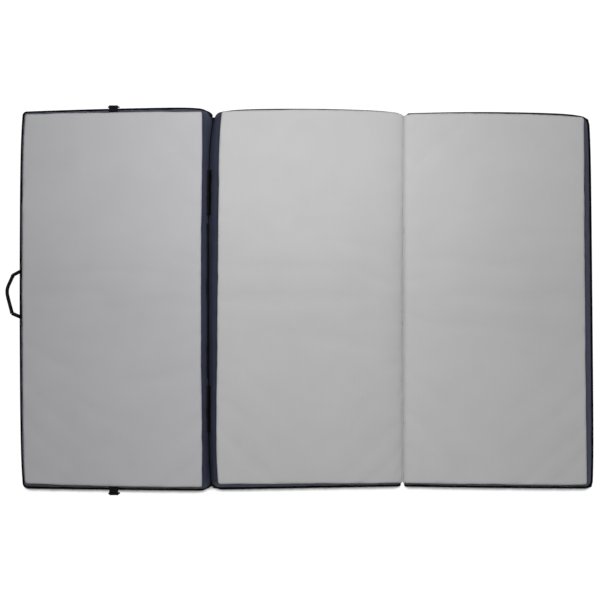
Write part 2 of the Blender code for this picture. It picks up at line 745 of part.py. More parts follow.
def shoulder_line(sign):
    """A shoulder strap's middle line in plan: a curve from the yoke, out and down."""
    middle = DISH_DEPTH - FIT - SHOULDER_THICKNESS / 2
    top = Vector((HARNESS_X + sign * SHOULDER_TOP_SPREAD, YOKE_SOUTH - FIT, middle))
    bend = Vector((HARNESS_X + sign * SHOULDER_MID_SPREAD, SHOULDER_MID_Y, middle))
    end = Vector((HARNESS_X + sign * SHOULDER_END_SPREAD, SHOULDER_END_Y, middle))
    points = []
    for step in range(SHOULDER_STEPS + 1):
        t = step / SHOULDER_STEPS
        points.append(top.lerp(bend, t).lerp(bend.lerp(end, t), t))
    return points, (end - bend).normalized()


def shoulder_strap(side, sign, body):
    """A padded shoulder strap, its ladder lock and the webbing that runs from it to the panel."""
    points, way = shoulder_line(sign)
    rings = cross_sections(points, UP, SHOULDER_WIDTH_OUT, SHOULDER_THICKNESS)
    lowest_y = YOKE_SOUTH - FIT
    rings[0] = [Vector((p.x, lowest_y, p.z)) for p in rings[0]]
    loft(side + "_shoulder_pad", rings, False, "black_cloth", body)
    eye = points[-1] + way * (FIT + LOCK_TOP_BAR + WEBBING_SLOT + BAR_WIDTH / 2)
    eye.z = HARDWARE_HEIGHT
    across = way.cross(UP)
    slotted_plate(side + "_ladder_lock", plate_columns(), plate_lines(BAR_WIDTH, WEBBING_SLOT, LOCK_TOP_BAR),
                  {(1, 1)}, frame_matrix(across, -way, UP, eye), "black_plastic", body)
    lead = []
    for distance in (LOWER_WEBBING_LENGTH, LOWER_RAMP_LENGTH):
        point = eye + way * distance
        point.z = SEWN_HEIGHT
        lead.append(point)
    path = looped_path(lead, eye, -way, UP, LOWER_TAIL)
    ribbon(side + "_lower_webbing", path, across, WEBBING, WEBBING_WIDTH, "black_webbing", body)


def belt_half(name, sign, buckle_end, body):
    """Half of the waist belt, from where it is sewn to the panel to its half of the buckle."""
    low = SEWN_HEIGHT - BELT_DROP
    middle = BUCKLE_LIFT + BUCKLE_THICKNESS / 2
    heights = ((BELT_REACH, SEWN_HEIGHT), (BELT_REACH - BELT_SEWN_LENGTH, SEWN_HEIGHT),
               (BELT_REACH - BELT_SEWN_LENGTH - BELT_RAMP, low), (buckle_end + 2 * BELT_RAMP, low),
               (buckle_end + BELT_RAMP, middle), (buckle_end + FIT, middle))
    path = [Vector((HARNESS_X + sign * x, BELT_Y, z)) for x, z in heights]
    ribbon(name, path, NORTH, WEBBING, BELT_WIDTH, "black_webbing", body)


def buckle_section(x, half_width, low, high):
    """One rectangle across the buckle."""
    return [Vector((x, BELT_Y + sy * half_width, z))
            for sy, z in ((-1, low), (1, low), (1, high), (-1, high))]


def waist_belt(panel_body):
    """The belt's two halves and its side-release buckle."""
    mouth = HARNESS_X + FIT
    back = mouth - SOCKET_LENGTH
    half = BUCKLE_WIDTH / 2
    low = BUCKLE_LIFT
    high = BUCKLE_LIFT + BUCKLE_THICKNESS
    socket = [buckle_section(back + BUCKLE_WALL, half - BUCKLE_WALL, low + BUCKLE_WALL, high - BUCKLE_WALL),
              buckle_section(mouth, half - BUCKLE_WALL, low + BUCKLE_WALL, high - BUCKLE_WALL),
              buckle_section(mouth, half, low, high),
              buckle_section(back, half, low, high)]
    loft("belt_buckle_socket", socket, False, "black_plastic", panel_body)
    body = make_body("belt_buckle_plug", Vector((mouth, BELT_Y, (low + high) / 2)), panel_body)
    shoulder = mouth + FIT
    end = shoulder + PLUG_LENGTH
    slim = BUCKLE_WALL + FIT
    plug = [buckle_section(mouth - TONGUE_LENGTH, half - slim, low + slim, high - slim),
            buckle_section(shoulder, half - slim, low + slim, high - slim),
            buckle_section(shoulder, half, low, high),
            buckle_section(end, half, low, high)]
    loft("belt_buckle_plug", plug, False, "black_plastic", body)
    belt_half("west_belt_webbing", -1, HARNESS_X - back, panel_body)
    belt_half("east_belt_webbing", 1, end - HARNESS_X, panel_body)


def build():
    """The whole pad."""
    clear_scene()
    left, centre, right = make_panels()
    centre_body = make_body("centre_panel", Vector())
    left_body = make_body("left_panel", Vector((LEFT_HINGE_X, 0, -FOLD_CLEARANCE)), centre_body)
    right_hinge = Vector((RIGHT_HINGE_X, 0, PAD_HEIGHT + FOLD_CLEARANCE))
    right_body = make_body("right_panel", right_hinge, centre_body)
    panel_pieces(left, left_body)
    panel_pieces(centre, centre_body)
    panel_pieces(right, right_body)
    hinge_strips(left, centre_body)
    tapes(left, centre, left_body, centre_body)
    for panel, side, length, body in ((left, "east", SHORT_ZIP, left_body),
                                      (centre, "east", LONG_ZIP, centre_body),
                                      (right, "west", LONG_ZIP, right_body)):
        zip_on_wall(panel, side, length, body)
        slider_on_zip(panel, side, length, body)
    side_handle(left, left_body)
    for end, outward in (("north", NORTH), ("south", -NORTH)):
        closing_tab(left, end, outward, left_body)
        closing_strap(end, outward, right_body)
    harness_yoke(right_body)
    for side, sign in (("west", -1), ("east", 1)):
        shoulder_strap(side, sign, right_body)
    waist_belt(right_body)


build()
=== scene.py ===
# %% [markdown]
# # A three-panel bouldering crash pad, lying open
#
# The pad is a set of cloth boxes sewn round foam. Blender could make each panel from a scaled cube with
# a bevel, but cloth shows itself at its seams and corners. So every cover starts as a flat cut of cloth,
# laid out as a grid, whose margin is folded over the edge of the foam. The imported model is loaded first:
# it holds the joints and the exact places, and every piece here is built round it.

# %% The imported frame
import math
from collections import namedtuple

import bmesh
import bpy
import numpy as np
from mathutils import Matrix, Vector


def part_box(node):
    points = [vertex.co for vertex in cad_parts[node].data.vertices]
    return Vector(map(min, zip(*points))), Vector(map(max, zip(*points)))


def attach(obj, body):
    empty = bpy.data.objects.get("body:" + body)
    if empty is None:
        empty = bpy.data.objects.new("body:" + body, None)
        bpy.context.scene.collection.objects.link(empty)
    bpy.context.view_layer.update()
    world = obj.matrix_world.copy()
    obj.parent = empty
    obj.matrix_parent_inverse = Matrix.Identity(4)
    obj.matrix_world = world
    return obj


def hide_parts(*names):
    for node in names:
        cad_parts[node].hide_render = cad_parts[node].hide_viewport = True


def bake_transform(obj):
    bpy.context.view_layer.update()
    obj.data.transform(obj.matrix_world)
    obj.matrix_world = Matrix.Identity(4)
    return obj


MM = 0.001
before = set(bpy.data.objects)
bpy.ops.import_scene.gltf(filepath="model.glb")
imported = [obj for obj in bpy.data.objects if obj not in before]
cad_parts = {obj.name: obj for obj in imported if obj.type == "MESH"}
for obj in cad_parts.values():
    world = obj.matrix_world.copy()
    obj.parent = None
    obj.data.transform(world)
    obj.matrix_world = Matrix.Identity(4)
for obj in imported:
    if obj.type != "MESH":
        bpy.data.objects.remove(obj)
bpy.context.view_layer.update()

# %% [markdown]
# ## The camera
#
# The photograph looks straight down through a long lens. What one pixel spans on the floor, with the lens,
# gives the height of the camera. It stands one degree towards the north end, so the tops of the panels
# shift a little towards the south.

# %% Camera
PIXEL = 2.7463 * MM
FRAME_PIXELS = 600
LENS_MM = 200
SENSOR_MM = 36
VIEW_X = -17 * MM
VIEW_LEAN = math.radians(1)


def make_camera():
    """A long lens, straight above the pad."""
    data = bpy.data.cameras.new("overhead_camera")
    data.lens = LENS_MM
    data.sensor_width = SENSOR_MM
    distance = FRAME_PIXELS * PIXEL * LENS_MM / SENSOR_MM
    data.clip_end = 3 * distance
    camera = bpy.data.objects.new("overhead_camera", data)
    bpy.context.scene.collection.objects.link(camera)
    camera.location = (VIEW_X, distance * math.sin(VIEW_LEAN), distance * math.cos(VIEW_LEAN))
    camera.rotation_euler = (-VIEW_LEAN, 0, 0)
    bpy.context.scene.camera = camera
    return distance


print("Camera height in metres:", round(make_camera(), 3))

# %% [markdown]
# ## Finishes
#
# Woven cloth is two sets of threads that cross. Its colour hardly changes from thread to thread: what the
# eye reads is the fine relief and a slow drift of tone from dye and handling. On top of that comes painted
# light and shade, kept as a tone on each point: a painted highlight where the cloth turns over an edge, and
# painted shade. All cloth here shares one recipe, which reads a UV map laid out in metres, so that the
# threads follow the cloth round each edge.

# %% Nodes and colours
CLOTH_UV = "cloth"
PAINTED_LIGHT_TONE = "painted_light_tone"


def rgb(code):
    """An sRGB hex colour as the linear values that Blender mixes."""
    parts = [int(code[i:i + 2], 16) / 255 for i in (0, 2, 4)]
    return (*[p / 12.92 if p <= 0.04045 else ((p + 0.055) / 1.055) ** 2.4 for p in parts], 1.0)


def add_node(tree, kind, inputs=None, **settings):
    """Adds one node, with its settings and with values or links on its inputs."""
    node = tree.nodes.new(kind)
    for name, value in settings.items():
        setattr(node, name, value)
    for key, value in (inputs or {}).items():
        if isinstance(value, bpy.types.NodeSocket):
            tree.links.new(value, node.inputs[key])
        else:
            node.inputs[key].default_value = value
    return node


def calculate(tree, operation, *values):
    """One sum on signals and numbers, as a node, and its result."""
    return add_node(tree, "ShaderNodeMath", dict(enumerate(values)), operation=operation).outputs[0]


def noise(tree, place, scale, detail=2.0, roughness=0.5):
    """Random clouds from 0 to 1, with about as many of them in a metre as the scale says."""
    return add_node(tree, "ShaderNodeTexNoise", {"Vector": place, "Scale": scale, "Detail": detail,
                                                 "Roughness": roughness}).outputs["Fac"]


def tint(tree, shader, code, tone):
    """Gives a shader a colour whose lightness follows a tone."""
    colour = add_node(tree, "ShaderNodeHueSaturation", {"Color": rgb(code), "Value": tone})
    tree.links.new(colour.outputs["Color"], shader.inputs["Base Color"])


def add_relief(tree, shader, height, strength, relief):
    """Lets a height signal tilt the surface, as a relief of a real depth."""
    bump = add_node(tree, "ShaderNodeBump", {"Height": height, "Strength": strength, "Distance": relief})
    tree.links.new(bump.outputs["Normal"], shader.inputs["Normal"])


def new_material(name, code, roughness, metallic=0.0):
    """A material with its colour, and its tree and shader for what follows."""
    material = bpy.data.materials.new(name)
    material.use_nodes = True
    shader = material.node_tree.nodes["Principled BSDF"]
    shader.inputs["Base Color"].default_value = rgb(code)
    shader.inputs["Roughness"].default_value = roughness
    shader.inputs["Metallic"].default_value = metallic
    return material, material.node_tree, shader


# %% Woven cloth
# How many dye clouds, slubs in the yarn, breaks in the ribs and handling marks there are in a metre
DYE_CLOUDS = 9.0
SLUBS = 420.0
RIB_BREAKS = 24.0
HANDLING_MARKS = 60.0
CLOUD_RANGE = (0.3, 0.7)
SLUB_RANGE = (0.2, 0.8)
RIB_RANGE = (-0.5, 0.5)
WEAVE_STRENGTH = 0.6
GRAIN_STRENGTH = 0.7


def repeat_wave(tree, along, pitch):
    """A wave from -1 to 1 that repeats with the spacing of threads or ribs."""
    return calculate(tree, "SINE", calculate(tree, "MULTIPLY", along, 2 * math.pi / pitch))


def tone_from(tree, signal, span, swing):
    """Turns a signal within a span into a factor for the colour, from 1 - swing to 1 + swing."""
    return add_node(tree, "ShaderNodeMapRange",
                    {"Value": signal, "From Min": span[0], "From Max": span[1],
                     "To Min": 1 - swing, "To Max": 1 + swing}).outputs["Result"]


def woven_cloth(name, code, warp, weft, relief, roughness, drift=0.03, rib=None, rib_tone=0.0, sheen=0.0,
                gloss=0.3):
    """Cloth with threads warp and weft apart, and with soft ribs if rib gives their spacing."""
    material, tree, shader = new_material(name, code, roughness)
    uv = add_node(tree, "ShaderNodeUVMap", uv_map=CLOTH_UV)
    across = add_node(tree, "ShaderNodeSeparateXYZ", {"Vector": uv.outputs["UV"]})
    place = add_node(tree, "ShaderNodeTexCoord").outputs["Object"]
    height = calculate(tree, "MULTIPLY", repeat_wave(tree, across.outputs["X"], warp),
                       repeat_wave(tree, across.outputs["Y"], weft))
    clouds = noise(tree, place, DYE_CLOUDS, 5.0, 0.6)
    slubs = noise(tree, place, SLUBS)
    # The stored tone is painted light and shade: highlights along the rims, and shade by the valley, under
    # the seams and on walls facing south
    edge = add_node(tree, "ShaderNodeAttribute", attribute_name=PAINTED_LIGHT_TONE).outputs["Fac"]
    tones = [tone_from(tree, clouds, CLOUD_RANGE, drift), tone_from(tree, slubs, SLUB_RANGE, 0.6 * drift),
             tone_from(tree, edge, (-1.0, 1.0), 1.0)]
    if rib:
        ribs = calculate(tree, "MULTIPLY", repeat_wave(tree, across.outputs["X"], rib),
                         noise(tree, place, RIB_BREAKS, 3.0))
        tones.append(tone_from(tree, ribs, RIB_RANGE, rib_tone))
        height = calculate(tree, "ADD", ribs, height)
    tone = tones[0]
    for other in tones[1:]:
        tone = calculate(tree, "MULTIPLY", tone, other)
    tint(tree, shader, code, tone)
    add_relief(tree, shader, height, WEAVE_STRENGTH, relief)
    shader.inputs["Sheen Weight"].default_value = sheen
    shader.inputs["Specular IOR Level"].default_value = gloss
    return material


# 600-denier polyester has a thread about every 0.5 mm. It is drawn at 1.1 mm, the finest that can show
# from this far. The ribs are the reed marks of the woven cloth, two pixels apart in the photograph.
ribbed_polyester = woven_cloth("ribbed_grey_polyester", "B6B6B7", 1.1 * MM, 1.1 * MM, 0.08 * MM, 0.86,
                               0.02, 5.5 * MM, 0.022, 0.08)
smooth_polyester = woven_cloth("smooth_grey_polyester", "ABABAE", 1.1 * MM, 1.1 * MM, 0.06 * MM, 0.84,
                               0.022, sheen=0.08)
slate_nylon = woven_cloth("slate_ripstop_nylon", "4E546B", 1.2 * MM, 1.2 * MM, 0.10 * MM, 0.78, 0.07,
                          sheen=0.02, gloss=0.15)
ballistic_nylon = woven_cloth("black_ballistic_nylon", "101013", 1.6 * MM, 1.6 * MM, 0.16 * MM, 0.75, 0.10,
                              gloss=0.15)
polyester_webbing = woven_cloth("black_polyester_webbing", "0A0A0D", 2.4 * MM, 1.5 * MM, 0.25 * MM, 0.7,
                                0.12, gloss=0.12)
# A zip's tape is woven finer than webbing, and dyed to go with the walls.
zip_cloth = woven_cloth("dark_slate_zip_tape", "262933", 1.4 * MM, 0.9 * MM, 0.12 * MM, 0.66, 0.10,
                        gloss=0.2)
print("Cloths:", [m.name for m in bpy.data.materials if "nylon" in m.name or "polyester" in m.name])


# %% Pile, foam, metal and plastic
def grained(name, code, roughness, metallic, grain, relief, drift, cells=False):
    """A surface with a grain of a real size, and a slow drift of tone."""
    material, tree, shader = new_material(name, code, roughness, metallic)
    place = add_node(tree, "ShaderNodeTexCoord").outputs["Object"]
    if cells:
        cell = add_node(tree, "ShaderNodeTexVoronoi", {"Vector": place, "Scale": 1 / grain})
        fine = cell.outputs["Distance"]
    else:
        fine = noise(tree, place, 1 / grain, 3.0)
    clouds = noise(tree, place, HANDLING_MARKS, 3.0)
    tint(tree, shader, code, tone_from(tree, clouds, CLOUD_RANGE, drift))
    rough = add_node(tree, "ShaderNodeMapRange",
                     {"Value": clouds, "From Min": CLOUD_RANGE[0], "From Max": CLOUD_RANGE[1],
                      "To Min": 0.85 * roughness, "To Max": min(1.0, 1.15 * roughness)})
    tree.links.new(rough.outputs["Result"], shader.inputs["Roughness"])
    add_relief(tree, shader, fine, GRAIN_STRENGTH, relief)
    return material


# Hook and loop tapes are a mat of bent nylon: matt, uneven, with a grain of about a millimetre.
loop_pile = grained("black_nylon_loop_pile", "0C0C0F", 0.95, 0, 1.2 * MM, 0.5 * MM, 0.25)
hook_pile = grained("black_nylon_hook_pile", "0E0E11", 0.55, 0, 1.5 * MM, 0.6 * MM, 0.15, True)
# Closed-cell polyethylene has a smooth skin and fine bubbles; open-cell polyurethane shows its pores.
closed_cell_foam = grained("grey_polyethylene_foam", "4A4A4E", 0.8, 0, 1.0 * MM, 0.15 * MM, 0.08, True)
open_cell_foam = grained("cream_polyurethane_foam", "DCD3B4", 0.95, 0, 1.8 * MM, 0.6 * MM, 0.06, True)
# Flat steel for pack buckles is stamped, tumbled and blackened, so it is dark and only half shiny.
blackened_steel = grained("blackened_steel", "2A2A2D", 0.5, 1.0, 0.6 * MM, 0.02 * MM, 0.12)
zinc_slider = grained("painted_zinc_slider", "202024", 0.4, 0.3, 0.8 * MM, 0.02 * MM, 0.08)
# Acetal is moulded in a spark-eroded tool, which leaves a fine matt grain.
acetal = grained("black_acetal", "141417", 0.42, 0, 0.7 * MM, 0.03 * MM, 0.08)
nylon_coil = grained("black_nylon_coil", "1A1A1E", 0.45, 0, 0.9 * MM, 0.03 * MM, 0.08)
bonded_thread = grained("black_bonded_thread", "1B1B20", 0.6, 0, 0.5 * MM, 0.05 * MM, 0.1)
print("Other finishes:", len(bpy.data.materials))

# %% [markdown]
# ## From numbers to meshes
#
# A piece of cloth is a grid of points, and numpy can place a whole grid at once. A grid becomes faces by a
# rule: each square joins a point to its neighbours in its row and in the next. Several grids that share
# their edges are welded into one closed body.

# %% Grids and pieces
Grid = namedtuple("Grid", "points quads uv uv_quads")


def grid_quads(rows, columns, wrap):
    """The squares of a grid of points that is read row by row."""
    row = np.arange(rows - 1)[:, None]
    column = np.arange(columns if wrap else columns - 1)[None, :]
    ahead = (column + 1) % columns
    quads = [row * columns + column, row * columns + ahead,
             (row + 1) * columns + ahead, (row + 1) * columns + column]
    return np.stack(np.broadcast_arrays(*quads), axis=-1).reshape(-1, 4)


def as_grid(points, uv, wrap=False, flip=False):
    """A grid of points with its map; wrap joins the last column to the first."""
    rows, columns = points.shape[:2]
    step = -1 if flip else 1
    quads = grid_quads(rows, columns, wrap)[:, ::step]
    uv_quads = grid_quads(rows, columns + wrap, False)[:, ::step]
    return Grid(points.reshape(-1, 3), quads, uv.reshape(-1, 2), uv_quads)


def distances(line):
    """How far along a line each of its points lies."""
    return np.concatenate([[0], np.cumsum(np.linalg.norm(np.diff(line, axis=0), axis=1))])


def strip_uv(points, wrap):
    """A map in metres from the distances along the first row and the middle column."""
    line = np.concatenate([points[0], points[0][:1]]) if wrap else points[0]
    side = points[:, points.shape[1] // 2]
    return np.stack(np.meshgrid(distances(line), distances(side)), axis=-1)


def make_piece(name, grids, material, caps=()):
    """Welds grids, and flat caps given as loops of points, into one object at the origin."""
    points, faces, uvs, start = [], [], [], 0
    for grid in grids:
        points.append(grid.points)
        faces += [tuple(q) for q in (grid.quads + start).tolist()]
        uvs.append(grid.uv[grid.uv_quads].reshape(-1, 2))
        start += len(grid.points)
    for cap in caps:
        points.append(cap)
        faces.append(tuple(range(start, start + len(cap))))
        uvs.append(cap[:, :2])
        start += len(cap)
    mesh = bpy.data.meshes.new(name)
    mesh.from_pydata(np.concatenate(points).tolist(), [], faces)
    layer = mesh.uv_layers.new(name=CLOTH_UV)
    layer.data.foreach_set("uv", np.concatenate(uvs).astype(np.float32).ravel())
    bm = bmesh.new()
    bm.from_mesh(mesh)
    bmesh.ops.remove_doubles(bm, verts=bm.verts, dist=0.01 * MM)
    bm.to_mesh(mesh)
    bm.free()
    mesh.shade_smooth()
    mesh.materials.append(material)
    piece = bpy.data.objects.new(name, mesh)
    bpy.context.scene.collection.objects.link(piece)
    return piece


def face_outwards(piece):
    """Turns every face of a closed piece outwards."""
    bm = bmesh.new()
    bm.from_mesh(piece.data)
    bmesh.ops.recalc_face_normals(bm, faces=bm.faces)
    bm.to_mesh(piece.data)
    bm.free()
    return piece


def settled_mesh(piece):
    """Turns a piece's modifiers into plain mesh."""
    graph = bpy.context.evaluated_depsgraph_get()
    mesh = bpy.data.meshes.new_from_object(piece.evaluated_get(graph))
    piece.modifiers.clear()
    piece.data = mesh
    return piece


def dress(piece, body, slot, *nodes):
    """The piece rides on a body and stands for CAD nodes, which it hides; slot is not used."""
    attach(piece, body)
    if nodes:
        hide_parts(*nodes)
    return piece


# %% [markdown]
# ## The outline of each panel
#
# Sewn panels are never true rectangles. Each side is given by its place at both ends, a bulge in the middle
# and a curl close to a corner, and the four sides together warp a unit square into the panel. There is one
# outline for the top seam and one for the foot, because the walls lean.

# %% Outlines in millimetres
Side = namedtuple("Side", "start end bulge start_curl end_curl", defaults=(0, 0, 0))
Outline = namedtuple("Outline", "west east south north")
CURL_POWER = 8
PANELS = ("left", "centre", "right")
TOP_SEAM = {
    "left": Outline(Side(-768, -768, -4, 3, 5), Side(-280.6, -279.9, -5.9, -2.8, -3.2),
                    Side(-497.8, -507.8, -2.4), Side(506.5, 513.5, 1.5)),
    "centre": Outline(Side(-246.5, -237, 0.6, 6.8, 7.5), Side(260.3, 262.6),
                      Side(-499.8, -496.8, 0, 0, 1), Side(513.6, 511.1, 6.7, 0, -3)),
    "right": Outline(Side(263.7, 266), Side(764, 754.5, -1.5),
                     Side(-497, -502.5, -0.5, 0, 2), Side(506.7, 499.1, 5.5, 0, -1.5)),
}
FOOT = {
    "left": Outline(Side(-783.5, -782.5, -4, 5, 5), Side(-269.5, -269.5, 0, 9, 18),
                    Side(-517.8, -524, -0.5), Side(517, 529.5, 2, 0, -12)),
    "centre": Outline(Side(-266.5, -266.5, 0, 9, 18), Side(260, 259, -5),
                      Side(-521, -512, 0), Side(520.7, 516.7, 6, -8, -5)),
    "right": Outline(Side(269, 274, 5), Side(791, 780, 0.5, -4, -4),
                     Side(-512.5, -517.8, -1), Side(512.3, 508.5, 5.2, 0, -9)),
}
# Corner radii of the foot: south-west, south-east, north-west and north-east
FOOT_RADII = {"left": (14, 30, 11, 38), "centre": (26, 5, 14, 16), "right": (5, 20, 9, 20)}
# The side on which each panel has the closed valley, and the open gap: 1 is east, -1 west and 0 neither
VALLEY_SIGN = {"left": 0, "centre": 1, "right": -1}
GAP_SIGN = {"left": 1, "centre": -1, "right": 0}
BODY_OF = {"left": "left_panel", "centre": "centre_panel", "right": "right_panel"}


def side_at(side, t):
    """A side's place at t, which runs from -1 at its start to 1 at its end."""
    curl = np.where(t < 0, side.start_curl, side.end_curl) * np.abs(t) ** CURL_POWER
    return side.start + (side.end - side.start) * (t + 1) / 2 + side.bulge * (1 - t * t) + curl


def warp(outline, u, v):
    """Carries points of the square from -1 to 1 to the panel, in millimetres."""
    x = side_at(outline.west, v) * (1 - u) / 2 + side_at(outline.east, v) * (1 + u) / 2
    y = side_at(outline.south, u) * (1 - v) / 2 + side_at(outline.north, u) * (1 + v) / 2
    return x, y


def half_sizes(outline):
    """Half the width and half the depth across the middle of an outline."""
    west, east, south, north = [float(side_at(side, np.array(0.0))) for side in outline]
    return (east - west) / 2, (north - south) / 2


def moved_in(outline, by):
    """The outline with its sides moved inwards, by one distance or by one for each side."""
    steps = np.broadcast_to(by, 4) * (1, -1, 1, -1)
    return Outline(*[side._replace(start=side.start + step, end=side.end + step)
                     for side, step in zip(outline, steps.tolist())])


def between(low, high, share):
    """An outline part of the way from one to another."""
    return Outline(*[Side(*[a + (b - a) * share for a, b in zip(p, q)]) for p, q in zip(low, high)])


for name in PANELS:
    print(name, "top, mm:", [round(2 * h, 1) for h in half_sizes(TOP_SEAM[name])])

# %% [markdown]
# ## Cutting the covers
#
# The cover's grid has close lines near its edge, where the cloth turns over the foam, and even squares in
# the middle. Its corners are eased round by an elliptical map, which spreads a square's border over a
# quarter circle without pinching any face. An edge is a short profile: how far the cloth has gone in, and
# how high it lies, after each length of cloth from its cut edge.

# %% Edge profiles and the cover grid
Edge = namedtuple("Edge", "flat inset height")
SEAM_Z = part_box("left_side_band")[1].z / MM
CROWN = 3.5
CROWN_POWER = 2.6
COVER_SQUARES = (50, 100)
# The sewn edge: out of the seam's groove, round the edge of the foam and in over its shoulder
SEWN_EDGE = Edge((0, 1.7, 2.9, 4.3, 6.2, 8.6, 12.6), (1.5, 0, 0.2, 0.9, 2.3, 4.4, 8.3),
                 (-0.8, 0.6, 1.9, 3.3, 4.8, 5.6, 6.0))
# The edge in the closed valley: it only rolls down to meet the other panel
VALLEY_EDGE = Edge((0, 2, 4.5, 8, 13, 20, 30), (0, 1.6, 3.9, 7.3, 12.2, 19.1, 29.1),
                   (2.1, 3.1, 3.9, 4.6, 5.2, 5.7, 6.0))
# How square the cover's corners are: south-west, south-east, north-west and north-east
SQUARENESS = {"left": (0.3, 0.4, 0.5, 0.5), "centre": (0.2, 0.9, 0.3, 0.3), "right": (0.9, 0.4, 0.3, 0.3)}


def flat_edge(radius):
    """The edge of a flat piece, whose corners have this radius."""
    steps = tuple(radius * share for share in (0, 0.3, 0.65, 1))
    return Edge(steps, steps, (0, 0, 0, 0))


def cut_lines(low, high, half, count):
    """How far each grid line lies from the low edge of the cloth, with count squares between margins."""
    length = 2 * half + low.flat[-1] - low.inset[-1] + high.flat[-1] - high.inset[-1]
    middle = np.linspace(low.flat[-1], length - high.flat[-1], count + 1)[1:-1]
    return np.concatenate([low.flat, middle, length - np.array(high.flat)[::-1]]), length


def near_edge(lines, length, low, high):
    """For each line: which edge is near, the distance to it, and how deep it lies in its margin."""
    is_high = lines > length / 2
    distance = np.where(is_high, length - lines, lines)
    margin = np.where(is_high, high.flat[-1], low.flat[-1])
    return is_high, distance, margin, np.clip(1 - distance / margin, 0, 1)


def profile(is_high, distance, low, high, field):
    """An edge profile's inset or height, read for a grid."""
    values = [np.interp(distance, e.flat, getattr(e, field)) for e in (low, high)]
    return np.where(is_high, values[1], values[0])


def cut_cloth(outline, west, east, ends, counts, square=(0, 0, 0, 0)):
    """A grid of cloth in an outline: its points in mm, its flat map, and how its rim lies."""
    half_x, half_y = half_sizes(outline)
    lines_x, length_x = cut_lines(west, east, half_x, counts[0])
    lines_y, length_y = cut_lines(ends, ends, half_y, counts[1])
    flat_x, flat_y = np.meshgrid(lines_x, lines_y)
    east_side, from_x, margin_x, a = near_edge(flat_x, length_x, west, east)
    north_side, from_y, margin_y, b = near_edge(flat_y, length_y, ends, ends)
    a, b = a * np.sqrt(1 - b * b / 2), b * np.sqrt(1 - a * a / 2)
    depth = np.hypot(a, b)
    lean_x = np.divide(a, depth, out=np.zeros_like(a), where=depth > 0)
    lean_y = np.divide(b, depth, out=np.zeros_like(b), where=depth > 0)
    reach_x = profile(east_side, margin_x, west, east, "inset")
    reach_y = profile(north_side, margin_y, ends, ends, "inset")
    in_x = reach_x - (reach_x - profile(east_side, margin_x * (1 - depth), west, east, "inset")) * lean_x
    in_y = reach_y - (reach_y - profile(north_side, margin_y * (1 - depth), ends, ends, "inset")) * lean_y
    in_x = np.where(a > 0, in_x, from_x - margin_x + reach_x)
    in_y = np.where(b > 0, in_y, from_y - margin_y + reach_y)
    share = np.where(north_side, np.where(east_side, square[3], square[2]),
                     np.where(east_side, square[1], square[0])) * (a > 0) * (b > 0)
    in_x += share * (profile(east_side, from_x, west, east, "inset") - in_x)
    in_y += share * (profile(north_side, from_y, ends, ends, "inset") - in_y)
    u = np.where(east_side, 1, -1) * (1 - in_x / half_x)
    v = np.where(north_side, 1, -1) * (1 - in_y / half_y)
    x, y = warp(outline, u, v)
    z = (profile(east_side, margin_x * (1 - depth), west, east, "height") * lean_x ** 2
         + profile(north_side, margin_y * (1 - depth), ends, ends, "height") * lean_y ** 2)
    z = np.where(depth > 0, z, ends.height[-1])
    sharp_z = (profile(east_side, from_x, west, east, "height")
               + profile(north_side, from_y, ends, ends, "height") - ends.height[-1])
    z += share * (sharp_z - z)
    uv = np.stack([flat_x - length_x / 2, flat_y - length_y / 2], axis=-1) * MM
    rim = dict(tau_x=np.clip((flat_x - west.flat[-1]) / (length_x - west.flat[-1] - east.flat[-1]), 0, 1),
               tau_y=np.clip((flat_y - ends.flat[-1]) / (length_y - 2 * ends.flat[-1]), 0, 1),
               lean_x=np.where(east_side, 1, -1) * lean_x, lean_y=np.where(north_side, 1, -1) * lean_y)
    return np.stack([x, y, z], axis=-1), uv, u, v, rim


def rim_walk(grid):
    """The border of a grid, anticlockwise from its south-west corner."""
    return np.concatenate([grid[0, :-1], grid[:-1, -1], grid[-1, :0:-1], grid[:0:-1, 0]])


def rim_points(outline, radii, rim):
    """The places on another outline that lie opposite each rim point of a cover."""
    half_x, half_y = half_sizes(outline)
    south_west, south_east, north_west, north_east = radii
    tau_x, tau_y, lean_x, lean_y = [rim_walk(rim[key]) for key in ("tau_x", "tau_y", "lean_x", "lean_y")]
    west, east = [np.where(tau_y < 0.5, *pair)
                  for pair in ((south_west, north_west), (south_east, north_east))]
    south, north = [np.where(tau_x < 0.5, *pair)
                    for pair in ((south_west, south_east), (north_west, north_east))]
    radius = np.where(tau_x < 0.5, west, east)
    u = (west / half_x - 1) * (1 - tau_x) + (1 - east / half_x) * tau_x + lean_x * radius / half_x
    v = (south / half_y - 1) * (1 - tau_y) + (1 - north / half_y) * tau_y + lean_y * radius / half_y
    return np.stack(warp(outline, u, v), axis=-1)


# %% [markdown]
# ## Walls that hang from the seam
#
# The wall is one band of cloth sewn to the cover above and to the piping below. Its rings run from the
# seam's groove down to the foot. Both it and the cover are then loosened together by a cloth simulation:
# the seams are pinned, the foam is a soft hold on every other point, and the cloth is a little too large,
# so it settles into shallow ripples. What comes out is limited to MOST_MOVE and becomes the mesh.

# %% Wall rings and loosening
WALL_SHARES = (0, 0.015, 0.04, 0.09, 0.17, 0.27, 0.38, 0.5, 0.62, 0.74, 0.85, 0.94, 1)
WALL_BELLY = 0.7
# The two walls under the closed fold are drawn in, which leaves room for their zips and for the fold
VALLEY_HOLLOW = 3.5
WALL_FOOT_INSET = 6.8
WALL_FOOT_Z = 1.6
# Over the open gap the wall hangs further out and higher, so that it hides the piping below it
GAP_FOOT_INSET = 0.8
GAP_FOOT_Z = 6.4
GROOVE_SHARE = 0.02
SURPLUS = 0.006
FOAM_HOLD = 0.12
MOST_MOVE = 1.6 * MM
SETTLING_FRAMES = 20


def outward(loop):
    """The level direction out of each point of an anticlockwise loop."""
    ahead = np.roll(loop, -1, axis=0)[:, :2] - np.roll(loop, 1, axis=0)[:, :2]
    normal = np.stack([ahead[:, 1], -ahead[:, 0]], axis=-1)
    return normal / np.linalg.norm(normal, axis=1)[:, None]


